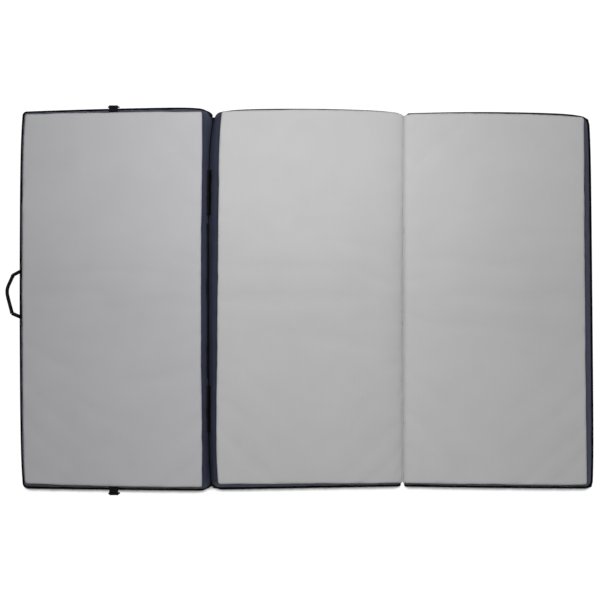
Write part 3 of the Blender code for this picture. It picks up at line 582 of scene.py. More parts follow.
def wall_rings(panel, cover, rim):
    """The wall's points in millimetres, ring by ring from the top seam to the foot."""
    seam = rim_walk(cover)
    gap = GAP_SIGN[panel]
    insets = [GAP_FOOT_INSET if gap == sign else WALL_FOOT_INSET for sign in (-1, 1, 2, 2)]
    foot = rim_points(moved_in(FOOT[panel], insets), [r - WALL_FOOT_INSET for r in FOOT_RADII[panel]], rim)
    foot_z = WALL_FOOT_Z + (GAP_FOOT_Z - WALL_FOOT_Z) * np.clip(gap * rim_walk(rim["lean_x"]), 0, 1) ** 2
    out = outward(seam)
    lip = np.full(len(seam), SEWN_EDGE.inset[0])
    belly = WALL_BELLY * (1 - np.clip(gap * rim_walk(rim["lean_x"]), 0, 1) ** 2)
    folded = np.clip(VALLEY_SIGN[panel] * rim_walk(rim["lean_x"]), 0, 1) ** 2
    lip *= 1 - folded
    belly -= (WALL_BELLY + VALLEY_HOLLOW) * folded
    rings = []
    for share in WALL_SHARES:
        ease = lip * (1 - math.exp(-share / GROOVE_SHARE)) + 4 * belly * share * (1 - share)
        level = seam[:, :2] + (foot - seam[:, :2]) * share + out * ease[:, None]
        z = seam[:, 2] + (foot_z - seam[:, 2]) * share
        rings.append(np.column_stack([level, z]))
    return np.stack(rings)


def loosen(points, quads, pinned):
    """Runs Blender's cloth on a sewn shell and returns where its points come to lie."""
    mesh = bpy.data.meshes.new("loosening")
    mesh.from_pydata(points.tolist(), [], quads.tolist())
    shell = bpy.data.objects.new("loosening", mesh)
    bpy.context.scene.collection.objects.link(shell)
    held = shell.vertex_groups.new(name="held")
    held.add([int(i) for i in np.flatnonzero(~pinned)], FOAM_HOLD, "REPLACE")
    held.add([int(i) for i in np.flatnonzero(pinned)], 1.0, "REPLACE")
    cloth = shell.modifiers.new("cloth", "CLOTH").settings
    cloth.quality = 5
    cloth.mass = 0.3
    cloth.tension_stiffness = cloth.compression_stiffness = 20
    cloth.shear_stiffness = 8
    cloth.bending_stiffness = 3
    cloth.vertex_group_mass = "held"
    cloth.pin_stiffness = 1.0
    cloth.shrink_min = cloth.shrink_max = -SURPLUS
    cloth.use_pressure = True
    cloth.uniform_pressure_force = 0.6
    cloth.effector_weights.gravity = 0
    for number in range(1, SETTLING_FRAMES + 1):
        bpy.context.scene.frame_set(number)
    graph = bpy.context.evaluated_depsgraph_get()
    result = shell.evaluated_get(graph).data
    moved = np.zeros(len(result.vertices) * 3, np.float32)
    result.vertices.foreach_get("co", moved)
    bpy.data.objects.remove(shell)
    bpy.context.scene.frame_set(1)
    return moved.reshape(-1, 3).astype(float)


def limited(rest, moved):
    """The simulated places, with no point further than MOST_MOVE from where it was cut."""
    step = moved - rest
    size = np.linalg.norm(step, axis=1, keepdims=True)
    return rest + step * MOST_MOVE / (MOST_MOVE + size)


# %% [markdown]
# Cloth that is sewn round a curve puckers: small ridges run in from the seam and die out. They are random
# but have a typical spacing, so each side gets a smooth random row with one value for each ridge.

# %% Puckers and dents
PUCKER_SPACING = 23 * MM
PUCKER_HEIGHT = 0.55 * MM
PUCKER_REACH = 34 * MM
PUCKER_START = 6 * MM
PUCKER_SLANT = 0.15
# Each dent's place, half sizes and depth, in millimetres
DENTS = {"left": [((-425, -48), (95, 30), 1.0), ((-640, 330), (150, 60), 0.7)],
         "centre": [((-20, 190), (90, 120), 0.6)],
         "right": [((520, -250), (140, 160), 0.5)]}


def smooth_row(along, spacing, seed):
    """A random row of bumps from -1 to 1, one for each spacing."""
    knots = np.random.default_rng(seed).uniform(-1, 1, 200)
    place = along / spacing + 100
    low = np.floor(place).astype(int)
    t = place - low
    t = t * t * (3 - 2 * t)
    return knots[low] * (1 - t) + knots[low + 1] * t


def pucker(mesh, half_x, half_y, seed):
    """Raises small ridges that run in from the four sides of a cover; gives how far each point is in."""
    points = np.array([v.co for v in mesh.vertices])
    flat = np.zeros((len(points), 2))
    index = np.zeros(len(mesh.loops), int)
    uv = np.zeros(len(mesh.loops) * 2)
    mesh.loops.foreach_get("vertex_index", index)
    mesh.uv_layers[CLOTH_UV].data.foreach_get("uv", uv)
    flat[index] = uv.reshape(-1, 2)
    sides = ((half_x + flat[:, 0], flat[:, 1]), (half_x - flat[:, 0], flat[:, 1]),
             (half_y + flat[:, 1], flat[:, 0]), (half_y - flat[:, 1], flat[:, 0]))
    for number, (depth, along) in enumerate(sides):
        ridge = smooth_row(along + PUCKER_SLANT * depth, PUCKER_SPACING, seed + number)
        reach = PUCKER_REACH * (1 + 0.5 * smooth_row(along, 2 * PUCKER_SPACING, seed + 10 + number))
        fade = np.exp(-depth / reach) * (1 - np.exp(-depth / PUCKER_START))
        points[:, 2] += PUCKER_HEIGHT * ridge * fade
    mesh.vertices.foreach_set("co", points.astype(np.float32).ravel())
    nearest = np.min([depth for depth, along in sides], axis=0)
    return points, nearest


def press_dents(points, dents):
    """Presses shallow, soft dents into a cover, as use leaves them."""
    for (x, y), (wide, deep), depth in dents:
        away = ((points[:, 0] / MM - x) / wide) ** 2 + ((points[:, 1] / MM - y) / deep) ** 2
        points[:, 2] -= depth * MM * np.exp(-away)
    return points


def set_painted_light_tone(mesh, values):
    """Stores the painted light and shade on each point: how much paler or darker than the rest of the cloth
    it is drawn.
    """
    tone = mesh.attributes.new(PAINTED_LIGHT_TONE, "FLOAT", "POINT")
    tone.data.foreach_set("value", values.astype(np.float32))


# %% [markdown]
# ## Sewing the three panels
#
# Each panel's cover and wall are cut, loosened together so that they keep one seam line, and then split
# into two pieces again. A subdivision rounds them, and a Solidify modifier gives the cloth its thickness.
# Each point also keeps a tone of painted light and shade, which the woven finish reads: the shares below
# were fitted to the photograph.

# %% Painted light and shade on covers and walls
# A painted highlight where the cloth turns over the foam: its strength, place and width in mm, and how much
# stronger it is painted along the south seam
PAINTED_RIM_HIGHLIGHT = 0.4
RIM_PLACE = 1.2
RIM_WIDTH = 1.9
SOUTH_RIM = 12 * MM
SOUTH_RIM_GAIN = 1.8
# Beside the closed valley there is no painted highlight, and painted shade darkens the cloth, most of all
# halfway along and in the crease
UNPALED_REACH = 14
FOLD_PAINTED_SHADE = 0.07
HALFWAY_PAINTED_SHADE = 0.05
FOLD_REACH = 24
CREASE_PAINTED_SHADE = {"centre": 0.05, "right": 0.19}
CREASE_REACH = 6.2
# Painted light that rises or falls from west to east, and a band of painted shade across the middle
PAINTED_WEST_EAST_LIGHT = {"left": 0.075, "centre": 0.0, "right": -0.05}
MIDDLE_PAINTED_SHADE = 0.035
MIDDLE_SHADE_REACH = 0.17
# Painted shade on the walls just under their seam
SEAM_PAINTED_SHADE = 0.6
SEAM_SHADE = 11
# Painted shade on the walls that face south: how dark they are drawn, as a share of the rest
PAINTED_SHADE_FACING_SOUTH = {"left": 0.3, "centre": 0.9, "right": 0.8}
SOUTH_FACING_GAIN = 1.05
SOUTH_FACING_POWER = 4


def cover_painted_light(panel, points, nearest):
    """The painted light and shade on each point of a cover: how much paler or darker it is drawn than its
    cloth.
    """
    across = 2 * (points[:, 0] - points[:, 0].min()) / np.ptp(points[:, 0]) - 1
    pale = PAINTED_RIM_HIGHLIGHT * np.exp(-((nearest / MM - RIM_PLACE) / RIM_WIDTH) ** 2)
    pale *= np.where(points[:, 1] < points[:, 1].min() + SOUTH_RIM, SOUTH_RIM_GAIN, 1)
    # Painted light from west to east, less a band of painted shade across the middle
    tone = PAINTED_WEST_EAST_LIGHT[panel] * across - MIDDLE_PAINTED_SHADE * np.exp(-(points[:, 1] / MIDDLE_SHADE_REACH) ** 2)
    sign = VALLEY_SIGN[panel]
    from_fold = ((sign * points[:, 0]).max() - sign * points[:, 0]) / MM
    if sign:
        pale *= 1 - np.exp(-(from_fold / UNPALED_REACH) ** 2)
        tone -= CREASE_PAINTED_SHADE[panel] * np.exp(-(from_fold / CREASE_REACH) ** 2)
    # Painted shade on the centre panel's slope into the valley, deepest halfway along
    if panel == "centre":
        fold_shade = FOLD_PAINTED_SHADE + HALFWAY_PAINTED_SHADE * np.cos(points[:, 1] / points[:, 1].max() * math.pi / 2)
        tone -= fold_shade * np.exp(-from_fold / FOLD_REACH)
    return tone + pale


def wall_painted_shade(panel, mesh):
    """The painted shade on each point of a side band: how much darker it is drawn than its cloth."""
    heights = np.array([v.co.z for v in mesh.vertices]) / MM
    faced = np.array([v.normal.y for v in mesh.vertices])
    share = 1 - SEAM_PAINTED_SHADE * np.exp(-np.abs(heights - SEAM_Z) / SEAM_SHADE)
    # Painted shade on the walls that face south
    facing_south = (-SOUTH_FACING_GAIN * faced).clip(0, 1) ** SOUTH_FACING_POWER
    share *= 1 - (1 - PAINTED_SHADE_FACING_SOUTH[panel]) * facing_south
    return share - 1


# %% Covers and side bands
CLOTH_THICKNESS = 0.9 * MM
COVER_CLOTH = {"left": smooth_polyester, "centre": ribbed_polyester, "right": ribbed_polyester}
walls = {}
rims = {}


def cut_panel(panel):
    """The cover's grid and the wall's rings, in metres, as they are sewn."""
    west = VALLEY_EDGE if VALLEY_SIGN[panel] < 0 else SEWN_EDGE
    east = VALLEY_EDGE if VALLEY_SIGN[panel] > 0 else SEWN_EDGE
    cover, uv, u, v, rim = cut_cloth(TOP_SEAM[panel], west, east, SEWN_EDGE, COVER_SQUARES,
                                     SQUARENESS[panel])
    crown = (1 - np.abs(u).clip(0, 1) ** CROWN_POWER) * (1 - np.abs(v).clip(0, 1) ** CROWN_POWER)
    cover[..., 2] += SEAM_Z + CROWN * crown
    return cover * MM, uv, wall_rings(panel, cover, rim) * MM, rim


def loosened_panel(cover, wall):
    """The cover and wall after the cloth simulation, which keeps their shared seam."""
    rows, columns = cover.shape[:2]
    inner = wall[1:].reshape(-1, 3)
    points = np.concatenate([cover.reshape(-1, 3), inner])
    border = rim_walk(np.arange(rows * columns).reshape(rows, columns))
    count = len(border)
    index = np.concatenate([border[None, :], rows * columns + np.arange(len(inner)).reshape(-1, count)])
    squares = grid_quads(len(index), count, True)
    quads = np.concatenate([grid_quads(rows, columns, False), index.reshape(-1)[squares][:, ::-1]])
    pinned = np.zeros(len(points), bool)
    pinned[border] = True
    pinned[index[-1]] = True
    moved = limited(points, loosen(points, quads, pinned))
    return moved[:rows * columns].reshape(cover.shape), moved[index.reshape(-1)].reshape(wall.shape)


def finish_cloth(piece, thickness):
    """Gives a cloth piece its thickness, inwards from its shown face."""
    solid = piece.modifiers.new("thickness", "SOLIDIFY")
    solid.thickness = thickness
    solid.offset = -1
    return piece


def subdivided(piece):
    """The piece with one level of subdivision made real."""
    rounding = piece.modifiers.new("rounding", "SUBSURF")
    rounding.levels = rounding.render_levels = 1
    return settled_mesh(piece)


def sew_panel(panel, seed):
    """A panel's top cover and side band."""
    cover, uv, wall, rim = cut_panel(panel)
    cover, wall = loosened_panel(cover, wall)
    walls[panel] = wall
    rims[panel] = rim
    top = subdivided(make_piece(panel + "_cover", [as_grid(cover, uv)], COVER_CLOTH[panel]))
    half = np.abs(uv.reshape(-1, 2)).max(axis=0)
    points, nearest = pucker(top.data, half[0], half[1], seed)
    points = press_dents(points, DENTS[panel])
    top.data.vertices.foreach_set("co", points.astype(np.float32).ravel())
    set_painted_light_tone(top.data, cover_painted_light(panel, points, nearest))
    finish_cloth(top, CLOTH_THICKNESS)
    dress(top, BODY_OF[panel], "grey_cloth", panel + "_top_cover")
    rings = as_grid(wall, strip_uv(wall, True), True, True)
    band = subdivided(make_piece(panel + "_wall", [rings], slate_nylon))
    set_painted_light_tone(band.data, wall_painted_shade(panel, band.data))
    finish_cloth(band, CLOTH_THICKNESS)
    dress(band, BODY_OF[panel], "slate_cloth", panel + "_side_band")
    return len(top.data.vertices), len(band.data.vertices)


for number, panel in enumerate(PANELS):
    print(panel, "cover and wall points:", sew_panel(panel, 40 * number + 7))

# %% [markdown]
# ## Undersides, piping and foam
#
# The underside is a flat sheet of tough cloth, hollowed under the right panel where the folded harness
# presses into it. The piping round its edge is a cord in a tape. Geometry Nodes make it: a loop of points
# becomes a curve, and a small circle is swept along it. The foam layers can't be seen through the
# covers, but they are what the cloth is pulled over.

# %% Bottom covers
DISH_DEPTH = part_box("harness_yoke")[1].z / MM
DISH_RIM = 32
DISH_SLOPE = 25
DEEPER_SHARE = 0.1
SHEET_SQUARES = (20, 40)
COVER_EDGE_INSET = 1.5


def dish(outline, points, ahead=0):
    """How far the underside is pressed in. The foam's hollow runs ahead of the cloth's, and is deeper."""
    x, y = points[..., 0], points[..., 1]
    sides = [float(side_at(side, np.array(0.0))) for side in outline]
    inside = np.minimum.reduce([x - sides[0], sides[1] - x, y - sides[2], sides[3] - y])
    t = np.clip((inside - DISH_RIM + ahead) / DISH_SLOPE, 0, 1)
    return (DISH_DEPTH + DEEPER_SHARE * ahead) * t * t * (3 - 2 * t)


def flat_cloth(outline, radii, height, dished):
    """A level grid of cloth in an outline, in metres."""
    south_west, south_east, north_west, north_east = radii
    west, east = flat_edge(max(south_west, north_west)), flat_edge(max(south_east, north_east))
    ends = flat_edge(min(radii))
    points, uv, *_ = cut_cloth(outline, west, east, ends, SHEET_SQUARES)
    points[..., 2] = height + (dish(outline, points) if dished else 0)
    return points * MM, uv


for panel in PANELS:
    outline = moved_in(FOOT[panel], COVER_EDGE_INSET)
    sheet, sheet_uv = flat_cloth(outline, FOOT_RADII[panel], 0, panel == "right")
    under = make_piece(panel + "_underside", [as_grid(sheet, sheet_uv, flip=True)], ballistic_nylon)
    finish_cloth(subdivided(under), CLOTH_THICKNESS)
    dress(under, BODY_OF[panel], "black_cloth", panel + "_bottom_cover")
print("Underside sheets: 3, hollowed in mm by", round(DISH_DEPTH, 1))


# %% Geometry Nodes helpers
def new_tree(name, **numbers):
    """A geometry tree with a geometry in and out, and a named number input for each size."""
    tree = bpy.data.node_groups.new(name, "GeometryNodeTree")
    for way in ("INPUT", "OUTPUT"):
        tree.interface.new_socket("Geometry", in_out=way, socket_type="NodeSocketGeometry")
    for label, value in numbers.items():
        kind = "NodeSocketInt" if isinstance(value, int) else "NodeSocketFloat"
        tree.interface.new_socket(label, in_out="INPUT", socket_type=kind).default_value = value
    tree.interface.new_socket("Finish", in_out="INPUT", socket_type="NodeSocketMaterial")
    return tree, add_node(tree, "NodeGroupInput"), add_node(tree, "NodeGroupOutput")


def grow(name, tree, lines, material, closed=False, **numbers):
    """Runs a tree on lines of points and keeps what it makes as a plain mesh at the origin."""
    points, edges, start = [], [], 0
    for line in lines:
        count = len(line)
        points += [tuple(p) for p in line]
        edges += [(start + i, start + (i + 1) % count) for i in range(count if closed else count - 1)]
        start += count
    mesh = bpy.data.meshes.new(name)
    mesh.from_pydata(points, edges, [])
    piece = bpy.data.objects.new(name, mesh)
    bpy.context.scene.collection.objects.link(piece)
    modifier = piece.modifiers.new("nodes", "NODES")
    modifier.node_group = tree
    values = dict(numbers, Finish=material)
    for item in tree.interface.items_tree:
        if item.in_out == "INPUT" and item.name in values:
            modifier[item.identifier] = values[item.name]
    return settled_mesh(piece)


def finish_tree(tree, given, result, geometry):
    """Ends a tree: what it made becomes plain smooth mesh, in the finish that it was given."""
    real = add_node(tree, "GeometryNodeRealizeInstances", {"Geometry": geometry})
    smooth = add_node(tree, "GeometryNodeSetShadeSmooth", {"Geometry": real.outputs["Geometry"]})
    done = add_node(tree, "GeometryNodeSetMaterial",
                    {"Geometry": smooth.outputs["Geometry"], "Material": given.outputs["Finish"]})
    tree.links.new(done.outputs["Geometry"], result.inputs["Geometry"])
    return tree


def piping_tree():
    """Sweeps a circle along each line: a cord inside a tape."""
    tree, given, result = new_tree("piping", Radius=2.5 * MM, Sides=10)
    curve = add_node(tree, "GeometryNodeMeshToCurve", {"Mesh": given.outputs["Geometry"]})
    circle = add_node(tree, "GeometryNodeCurvePrimitiveCircle",
                      {"Resolution": given.outputs["Sides"], "Radius": given.outputs["Radius"]})
    tube = add_node(tree, "GeometryNodeCurveToMesh",
                    {"Curve": curve.outputs["Curve"], "Profile Curve": circle.outputs["Curve"]})
    return finish_tree(tree, given, result, tube.outputs["Mesh"])


# %% Piping
PIPING_RADIUS = 2.5
PIPING_Z = 2.7
along_seam = piping_tree()
piping_tape = woven_cloth("black_piping_tape", "09090B", 1.1 * MM, 1.1 * MM, 0.1 * MM, 0.75, 0.1, gloss=0.1)
for panel in PANELS:
    loop = rim_points(moved_in(FOOT[panel], PIPING_RADIUS), [r - PIPING_RADIUS for r in FOOT_RADII[panel]],
                      rims[panel])
    path = np.column_stack([loop, np.full(len(loop), PIPING_Z)]) * MM
    cord = grow(panel + "_piping_cord", along_seam, [path], piping_tape, True, Radius=PIPING_RADIUS * MM)
    dress(cord, BODY_OF[panel], "black_webbing", panel + "_piping")
print("Piping round three panels, mesh points:", len(cord.data.vertices))


# %% Foam blocks
FOAM_CLEARANCE = 10
FOAM_RADIUS = 30
FOAM_AHEAD = 12
FOAM_SQUARES = (22, 44)
Layer = namedtuple("Layer", "name low high rounding material slot")
LAYERS = (Layer("base_foam", 1.4, 7.4, 1.0, closed_cell_foam, "firm_foam"),
          Layer("core_foam", 7.8, 87.4, 4.0, open_cell_foam, "soft_foam"),
          Layer("top_foam", 87.8, 95.6, 2.5, closed_cell_foam, "firm_foam"))


def foam_face(panel, height, rounding, sign, dished):
    """The upper or lower face of a foam block, rounded over at its edge."""
    share = min(1, height / SEAM_Z)
    outline = moved_in(between(FOOT[panel], TOP_SEAM[panel], share), FOAM_CLEARANCE)
    edge = Edge((0, rounding, 2 * rounding, FOAM_RADIUS), (0, 0.3 * rounding, rounding, FOAM_RADIUS),
                (-sign * rounding, -0.3 * sign * rounding, 0, 0))
    points, uv, *_ = cut_cloth(outline, edge, edge, edge, FOAM_SQUARES)
    points[..., 2] += height + (dish(FOOT[panel], points, FOAM_AHEAD) if dished else 0)
    return points * MM, uv


for panel in PANELS:
    for layer in LAYERS:
        dished = panel == "right" and layer.name != "top_foam"
        dished_above = dished and layer.name == "base_foam"
        low, low_uv = foam_face(panel, layer.low, layer.rounding, -1, dished)
        high, high_uv = foam_face(panel, layer.high, layer.rounding, 1, dished_above)
        side = np.stack([rim_walk(high), rim_walk(low)])
        block = make_piece(panel + "_" + layer.name + "_block",
                           [as_grid(high, high_uv), as_grid(low, low_uv, flip=True),
                            as_grid(side, strip_uv(side, True), True, True)], layer.material)
        dress(block, BODY_OF[panel], layer.slot, panel + "_" + layer.name)
print("Foam blocks:", 3 * len(LAYERS))

# %% [markdown]
# ## The two folds
#
# The left panel is joined to the middle one by a black strip at the foot of an open gap. The right panel is
# joined by a grey strip across the tops, which sags into a shallow valley, so the grey runs on over the
# fold. Both strips are plain meshes that ride on no body.

# %% Hinge strips
STRIP_SOUTH = -512
STRIP_NORTH = 501
CREASE_X = (262, 264.3)
CREASE_HALF = 1.9
CREASE_Z = SEAM_Z + 2.3
CREASE_SAG = 1.2
CREASE_NORTH = 502.5
CREASE_SOUTH = -493.6
CREASE_TAIL = 9
CREASE_TAIL_POINTS = 4
CREASE_TAIL_START = 0.6
CREASE_BOW = 0.25
CREASE_BOW_SPACING = 70 * MM
# Painted shade over the whole grey strip in the valley
VALLEY_STRIP_PAINTED_SHADE = -0.15
STRIP_STEP = 8
HINGE_X = -268
HINGE_CURLS = (0, 9, 18)
HINGE_SAG = 1.6
HINGE_HALF = 8
HINGE_Z = 5.9


def across_strip(path, half, shares, sag):
    """A strip of cloth along a path of x, y and z: its points, each row sagging in the middle."""
    rows = []
    for share in shares:
        row = path.copy()
        row[:, 0] += share * half
        row[:, 2] -= sag * (1 - abs(share) ** 1.5)
        rows.append(row)
    return np.stack(rows) * MM


def valley_strip():
    """The grey strip in the closed valley, with its ends turned down."""
    y = np.concatenate([[CREASE_SOUTH] * CREASE_TAIL_POINTS,
                        np.arange(CREASE_SOUTH, CREASE_NORTH, STRIP_STEP),
                        [CREASE_NORTH] * (CREASE_TAIL_POINTS + 1)])
    tail = np.zeros(len(y))
    turned = np.linspace(CREASE_TAIL, CREASE_TAIL_START, CREASE_TAIL_POINTS)
    tail[:CREASE_TAIL_POINTS] = turned
    tail[-CREASE_TAIL_POINTS:] = turned[::-1]
    bow = CREASE_BOW * smooth_row(y * MM, CREASE_BOW_SPACING, 5)
    line = np.interp(y, (CREASE_SOUTH, CREASE_NORTH), CREASE_X)
    path = np.column_stack([line + bow, y, CREASE_Z - tail])
    points = across_strip(path, CREASE_HALF, (1, 0.5, 0, -0.5, -1), CREASE_SAG)
    grid = as_grid(points, strip_uv(points, False))
    strip = subdivided(make_piece("valley_hinge", [grid], ribbed_polyester))
    # The strip is darkened all over by painted shade
    set_painted_light_tone(strip.data, np.full(len(strip.data.vertices), VALLEY_STRIP_PAINTED_SHADE))
    finish_cloth(strip, CLOTH_THICKNESS)
    settled_mesh(strip)
    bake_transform(strip)
    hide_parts("top_hinge_band")
    return strip


def gap_strip():
    """The black strip at the foot of the open gap, following the panels' curled corners."""
    y = np.linspace(STRIP_SOUTH, STRIP_NORTH, 90)
    t = y / half_sizes(FOOT["left"])[1]
    x = side_at(Side(HINGE_X, HINGE_X, *HINGE_CURLS), t)
    path = np.column_stack([x, y, np.full(len(y), HINGE_Z)])
    points = across_strip(path, HINGE_HALF, (1, 0.6, 0.25, 0, -0.25, -0.6, -1), HINGE_SAG)
    grid = as_grid(points, strip_uv(points, False))
    strip = subdivided(make_piece("gap_hinge", [grid], ballistic_nylon))
    finish_cloth(strip, CLOTH_THICKNESS)
    settled_mesh(strip)
    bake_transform(strip)
    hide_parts("bottom_hinge_strip")
    return strip


print("Hinge strips:", valley_strip().name, gap_strip().name)

# %% [markdown]
# ## What is sewn on the walls
#
# Tapes, patches and zips follow the wall behind them. One function looks up the wall's surface at a place
# along it and a height, and another builds a thin closed pad there, back and front.

# %% Finding the wall
SEWN_GAP = 0.2 * MM
TAPE_THICKNESS = 1.9 * MM
PAD_RIM_SHARE = 0.35


def on_wall(panel, side, along, height, out):
    """The points that stand out from a wall by a distance, all in metres."""
    wall = walls[panel]
    axis = 1 if side in ("east", "west") else 0
    across = 1 - axis
    sign = 1 if side in ("east", "north") else -1
    normal = outward(wall[0])
    facing = np.flatnonzero(sign * normal[:, across] > 0.95)
    columns = facing[np.argsort(wall[0, facing, axis])]
    places = wall[:, columns]
    along, height = np.broadcast_arrays(np.asarray(along, float), np.asarray(height, float))
    result = np.zeros(along.shape + (3,))
    for index in np.ndindex(along.shape):
        here = np.array([np.interp(along[index], ring[:, axis], ring[:, across]) for ring in places])
        levels = np.array([np.interp(along[index], ring[:, axis], ring[:, 2]) for ring in places])
        result[index][axis] = along[index]
        result[index][across] = np.interp(height[index], levels[::-1], here[::-1]) + sign * out
        result[index][2] = height[index]
    return result


def wall_pad(name, panel, side, middle, length, low, high, thickness, material, steps=(12, 8)):
    """A thin closed pad on a wall, with its edges rounded over."""
    ease = np.array([0, 0.02, 0.06, *np.linspace(0.12, 0.88, steps[0]), 0.94, 0.98, 1])
    rise = np.array([0, 0.05, 0.15, *np.linspace(0.25, 0.75, steps[1]), 0.85, 0.95, 1])
    along, height = np.meshgrid(middle + (ease - 0.5) * length, low + rise * (high - low))
    back = on_wall(panel, side, along, height, SEWN_GAP)
    front = on_wall(panel, side, along, height, SEWN_GAP + thickness)
    from_end = np.minimum(ease, 1 - ease)[None, :] * length
    from_rim = np.minimum(rise, 1 - rise)[:, None] * (high - low)
    lift = np.clip(np.minimum(from_end, from_rim) / thickness, 0, 1)[..., None] ** 0.5
    front = back + (front - back) * (PAD_RIM_SHARE + (1 - PAD_RIM_SHARE) * lift)
    rim = np.stack([rim_walk(front), rim_walk(back)])
    flip = side in ("north", "west")
    uv = np.stack([along, height], axis=-1)
    return make_piece(name, [as_grid(front, uv, flip=flip), as_grid(back, uv, flip=not flip),
                             as_grid(rim, strip_uv(rim, True), True, not flip)], material)


def centre_of(node):
    """The middle of a CAD node's box."""
    low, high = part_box(node)
    return (low + high) / 2


for end in ("north", "south"):
    for kind, panel, side, pile, slot in (("loop", "left", "east", loop_pile, "black_cloth"),
                                          ("hook", "centre", "west", hook_pile, "black_webbing")):
        node = f"{end}_{kind}_tape"
        low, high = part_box(node)
        tape = wall_pad(node + "_pile", panel, side, centre_of(node).y, high.y - low.y, low.z, high.z,
                        TAPE_THICKNESS, pile, (30, 8))
        dress(tape, BODY_OF[panel], slot, node)
print("Hook and loop tapes:", 4)


# %% [markdown]
# A row of stitches and a row of zip coils are the same rule: one small shape, repeated at a pitch along a
# line and turned to follow it. One tree makes both, with the pitch and the three sizes as its inputs.

# %% Rows of stitches and coils
def bead_tree():
    """Sets a small bead at each pitch along each line, turned along it."""
    tree, given, result = new_tree("bead_row", Pitch=4 * MM, Length=3 * MM, Thickness=0.7 * MM)
    curve = add_node(tree, "GeometryNodeMeshToCurve", {"Mesh": given.outputs["Geometry"]})
    spaced = add_node(tree, "GeometryNodeResampleCurve",
                      {"Curve": curve.outputs["Curve"], "Length": given.outputs["Pitch"]}, mode="LENGTH")
    ahead = add_node(tree, "GeometryNodeInputTangent")
    turn = add_node(tree, "FunctionNodeAlignRotationToVector", {"Vector": ahead.outputs["Tangent"]},
                    axis="X")
    bead = add_node(tree, "GeometryNodeMeshIcoSphere", {"Radius": 0.5, "Subdivisions": 1})
    thick = given.outputs["Thickness"]
    size = add_node(tree, "ShaderNodeCombineXYZ", {"X": given.outputs["Length"], "Y": thick, "Z": thick})
    copies = add_node(tree, "GeometryNodeInstanceOnPoints",
                      {"Points": spaced.outputs["Curve"], "Instance": bead.outputs["Mesh"],
                       "Rotation": turn.outputs["Rotation"], "Scale": size.outputs["Vector"]})
    return finish_tree(tree, given, result, copies.outputs["Instances"])


bead_row = bead_tree()
STITCH_PITCH = 4.4 * MM
STITCH_LENGTH = 3.2 * MM
THREAD_THICKNESS = 0.75 * MM


def stitched(name, lines, body):
    """Rows of stitches along lines of points, on one body."""
    rows = grow(name, bead_row, lines, bonded_thread, Pitch=STITCH_PITCH, Length=STITCH_LENGTH,
                Thickness=THREAD_THICKNESS)
    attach(rows, body)
    return rows


TOPSTITCH_RING = 3
HEM_RING = -3
TOPSTITCH_OUT = 0.15
for panel in PANELS:
    ring = walls[panel][TOPSTITCH_RING]
    out = np.column_stack([outward(ring), np.zeros(len(ring))]) * TOPSTITCH_OUT * MM
    hem = walls[panel][HEM_RING]
    lines = [np.vstack([ring + out, (ring + out)[:1]]), np.vstack([hem + out, (hem + out)[:1]])]
    rows = stitched(panel + "_wall_topstitch", lines, BODY_OF[panel])
print("Topstitching on the walls, points on the last:", len(rows.data.vertices))

# %% Zips
ZIP_TAPE_THICKNESS = 0.8 * MM
COIL_PITCH = 2.0 * MM
COIL_LENGTH = 1.3 * MM
COIL_THICKNESS = 2.0 * MM
COIL_OUT = 0.3 * MM


def zip_pieces(panel, side):
    """A zip's tape and its coil."""
    low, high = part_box(panel + "_zip")
    middle, length = (low.y + high.y) / 2, high.y - low.y
    tape = wall_pad(panel + "_zip_tape", panel, side, middle, length, low.z, high.z, ZIP_TAPE_THICKNESS,
                    zip_cloth, (60, 6))
    dress(tape, BODY_OF[panel], "black_cloth", panel + "_zip")
    y = np.linspace(low.y + COIL_PITCH, high.y - COIL_PITCH, 60)
    level = (low.z + high.z) / 2
    line = on_wall(panel, side, y, np.full(len(y), level), SEWN_GAP + ZIP_TAPE_THICKNESS + COIL_OUT)
    coil = grow(panel + "_zip_coil", bead_row, [line], nylon_coil, Pitch=COIL_PITCH, Length=COIL_LENGTH,
                Thickness=COIL_THICKNESS)
    dress(coil, BODY_OF[panel], "black_cloth")


for panel, side in (("left", "east"), ("centre", "east"), ("right", "west")):
    zip_pieces(panel, side)
print("Zips: 3, each with a tape and a coil")


# %% [markdown]
# ## Parts that keep their CAD shape
#
# Stamped plates and moulded buckles are right in the CAD, apart from their knife edges. A copy of the mesh
# is welded, its flat faces are joined, and two bevels do what the tumbling drum and the mould do: a wide
# one on the corners in plan, and a fine one on every edge.

# %% Refined copies
def refined(node, name, material, body, slot, corner, edge, thickness_axis, shift=(0, 0, 0)):
    """A copy of a CAD node with rounded corners and broken edges, which stands for it."""
    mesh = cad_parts[node].data.copy()
    mesh.name = name
    bm = bmesh.new()
    bm.from_mesh(mesh)
    bmesh.ops.translate(bm, verts=bm.verts, vec=shift)
    bmesh.ops.remove_doubles(bm, verts=bm.verts, dist=0.01 * MM)
    bmesh.ops.dissolve_limit(bm, angle_limit=math.radians(1), verts=bm.verts, edges=bm.edges)
    if corner:
        axis = Vector(thickness_axis)
        upright = [e for e in bm.edges if abs((e.verts[0].co - e.verts[1].co).normalized().dot(axis)) > 0.99
                   and e.calc_face_angle(0) > 0.5]
        bmesh.ops.bevel(bm, geom=upright, offset=corner, segments=4, profile=0.5, affect="EDGES",
                        clamp_overlap=True)
    sharp = [e for e in bm.edges if e.calc_face_angle(0) > math.radians(35)]
    bmesh.ops.bevel(bm, geom=sharp, offset=edge, segments=2, profile=0.5, affect="EDGES",
                    clamp_overlap=True)
    bm.to_mesh(mesh)
    bm.free()
    mesh.materials.clear()
    mesh.materials.append(material)
    for attribute in [a.name for a in mesh.color_attributes]:
        mesh.color_attributes.remove(mesh.color_attributes[attribute])
    mesh.shade_smooth()
    mesh.set_sharp_from_angle(angle=math.radians(40))
    piece = bpy.data.objects.new(name, mesh)
    bpy.context.scene.collection.objects.link(piece)
    return dress(piece, body, slot, node)


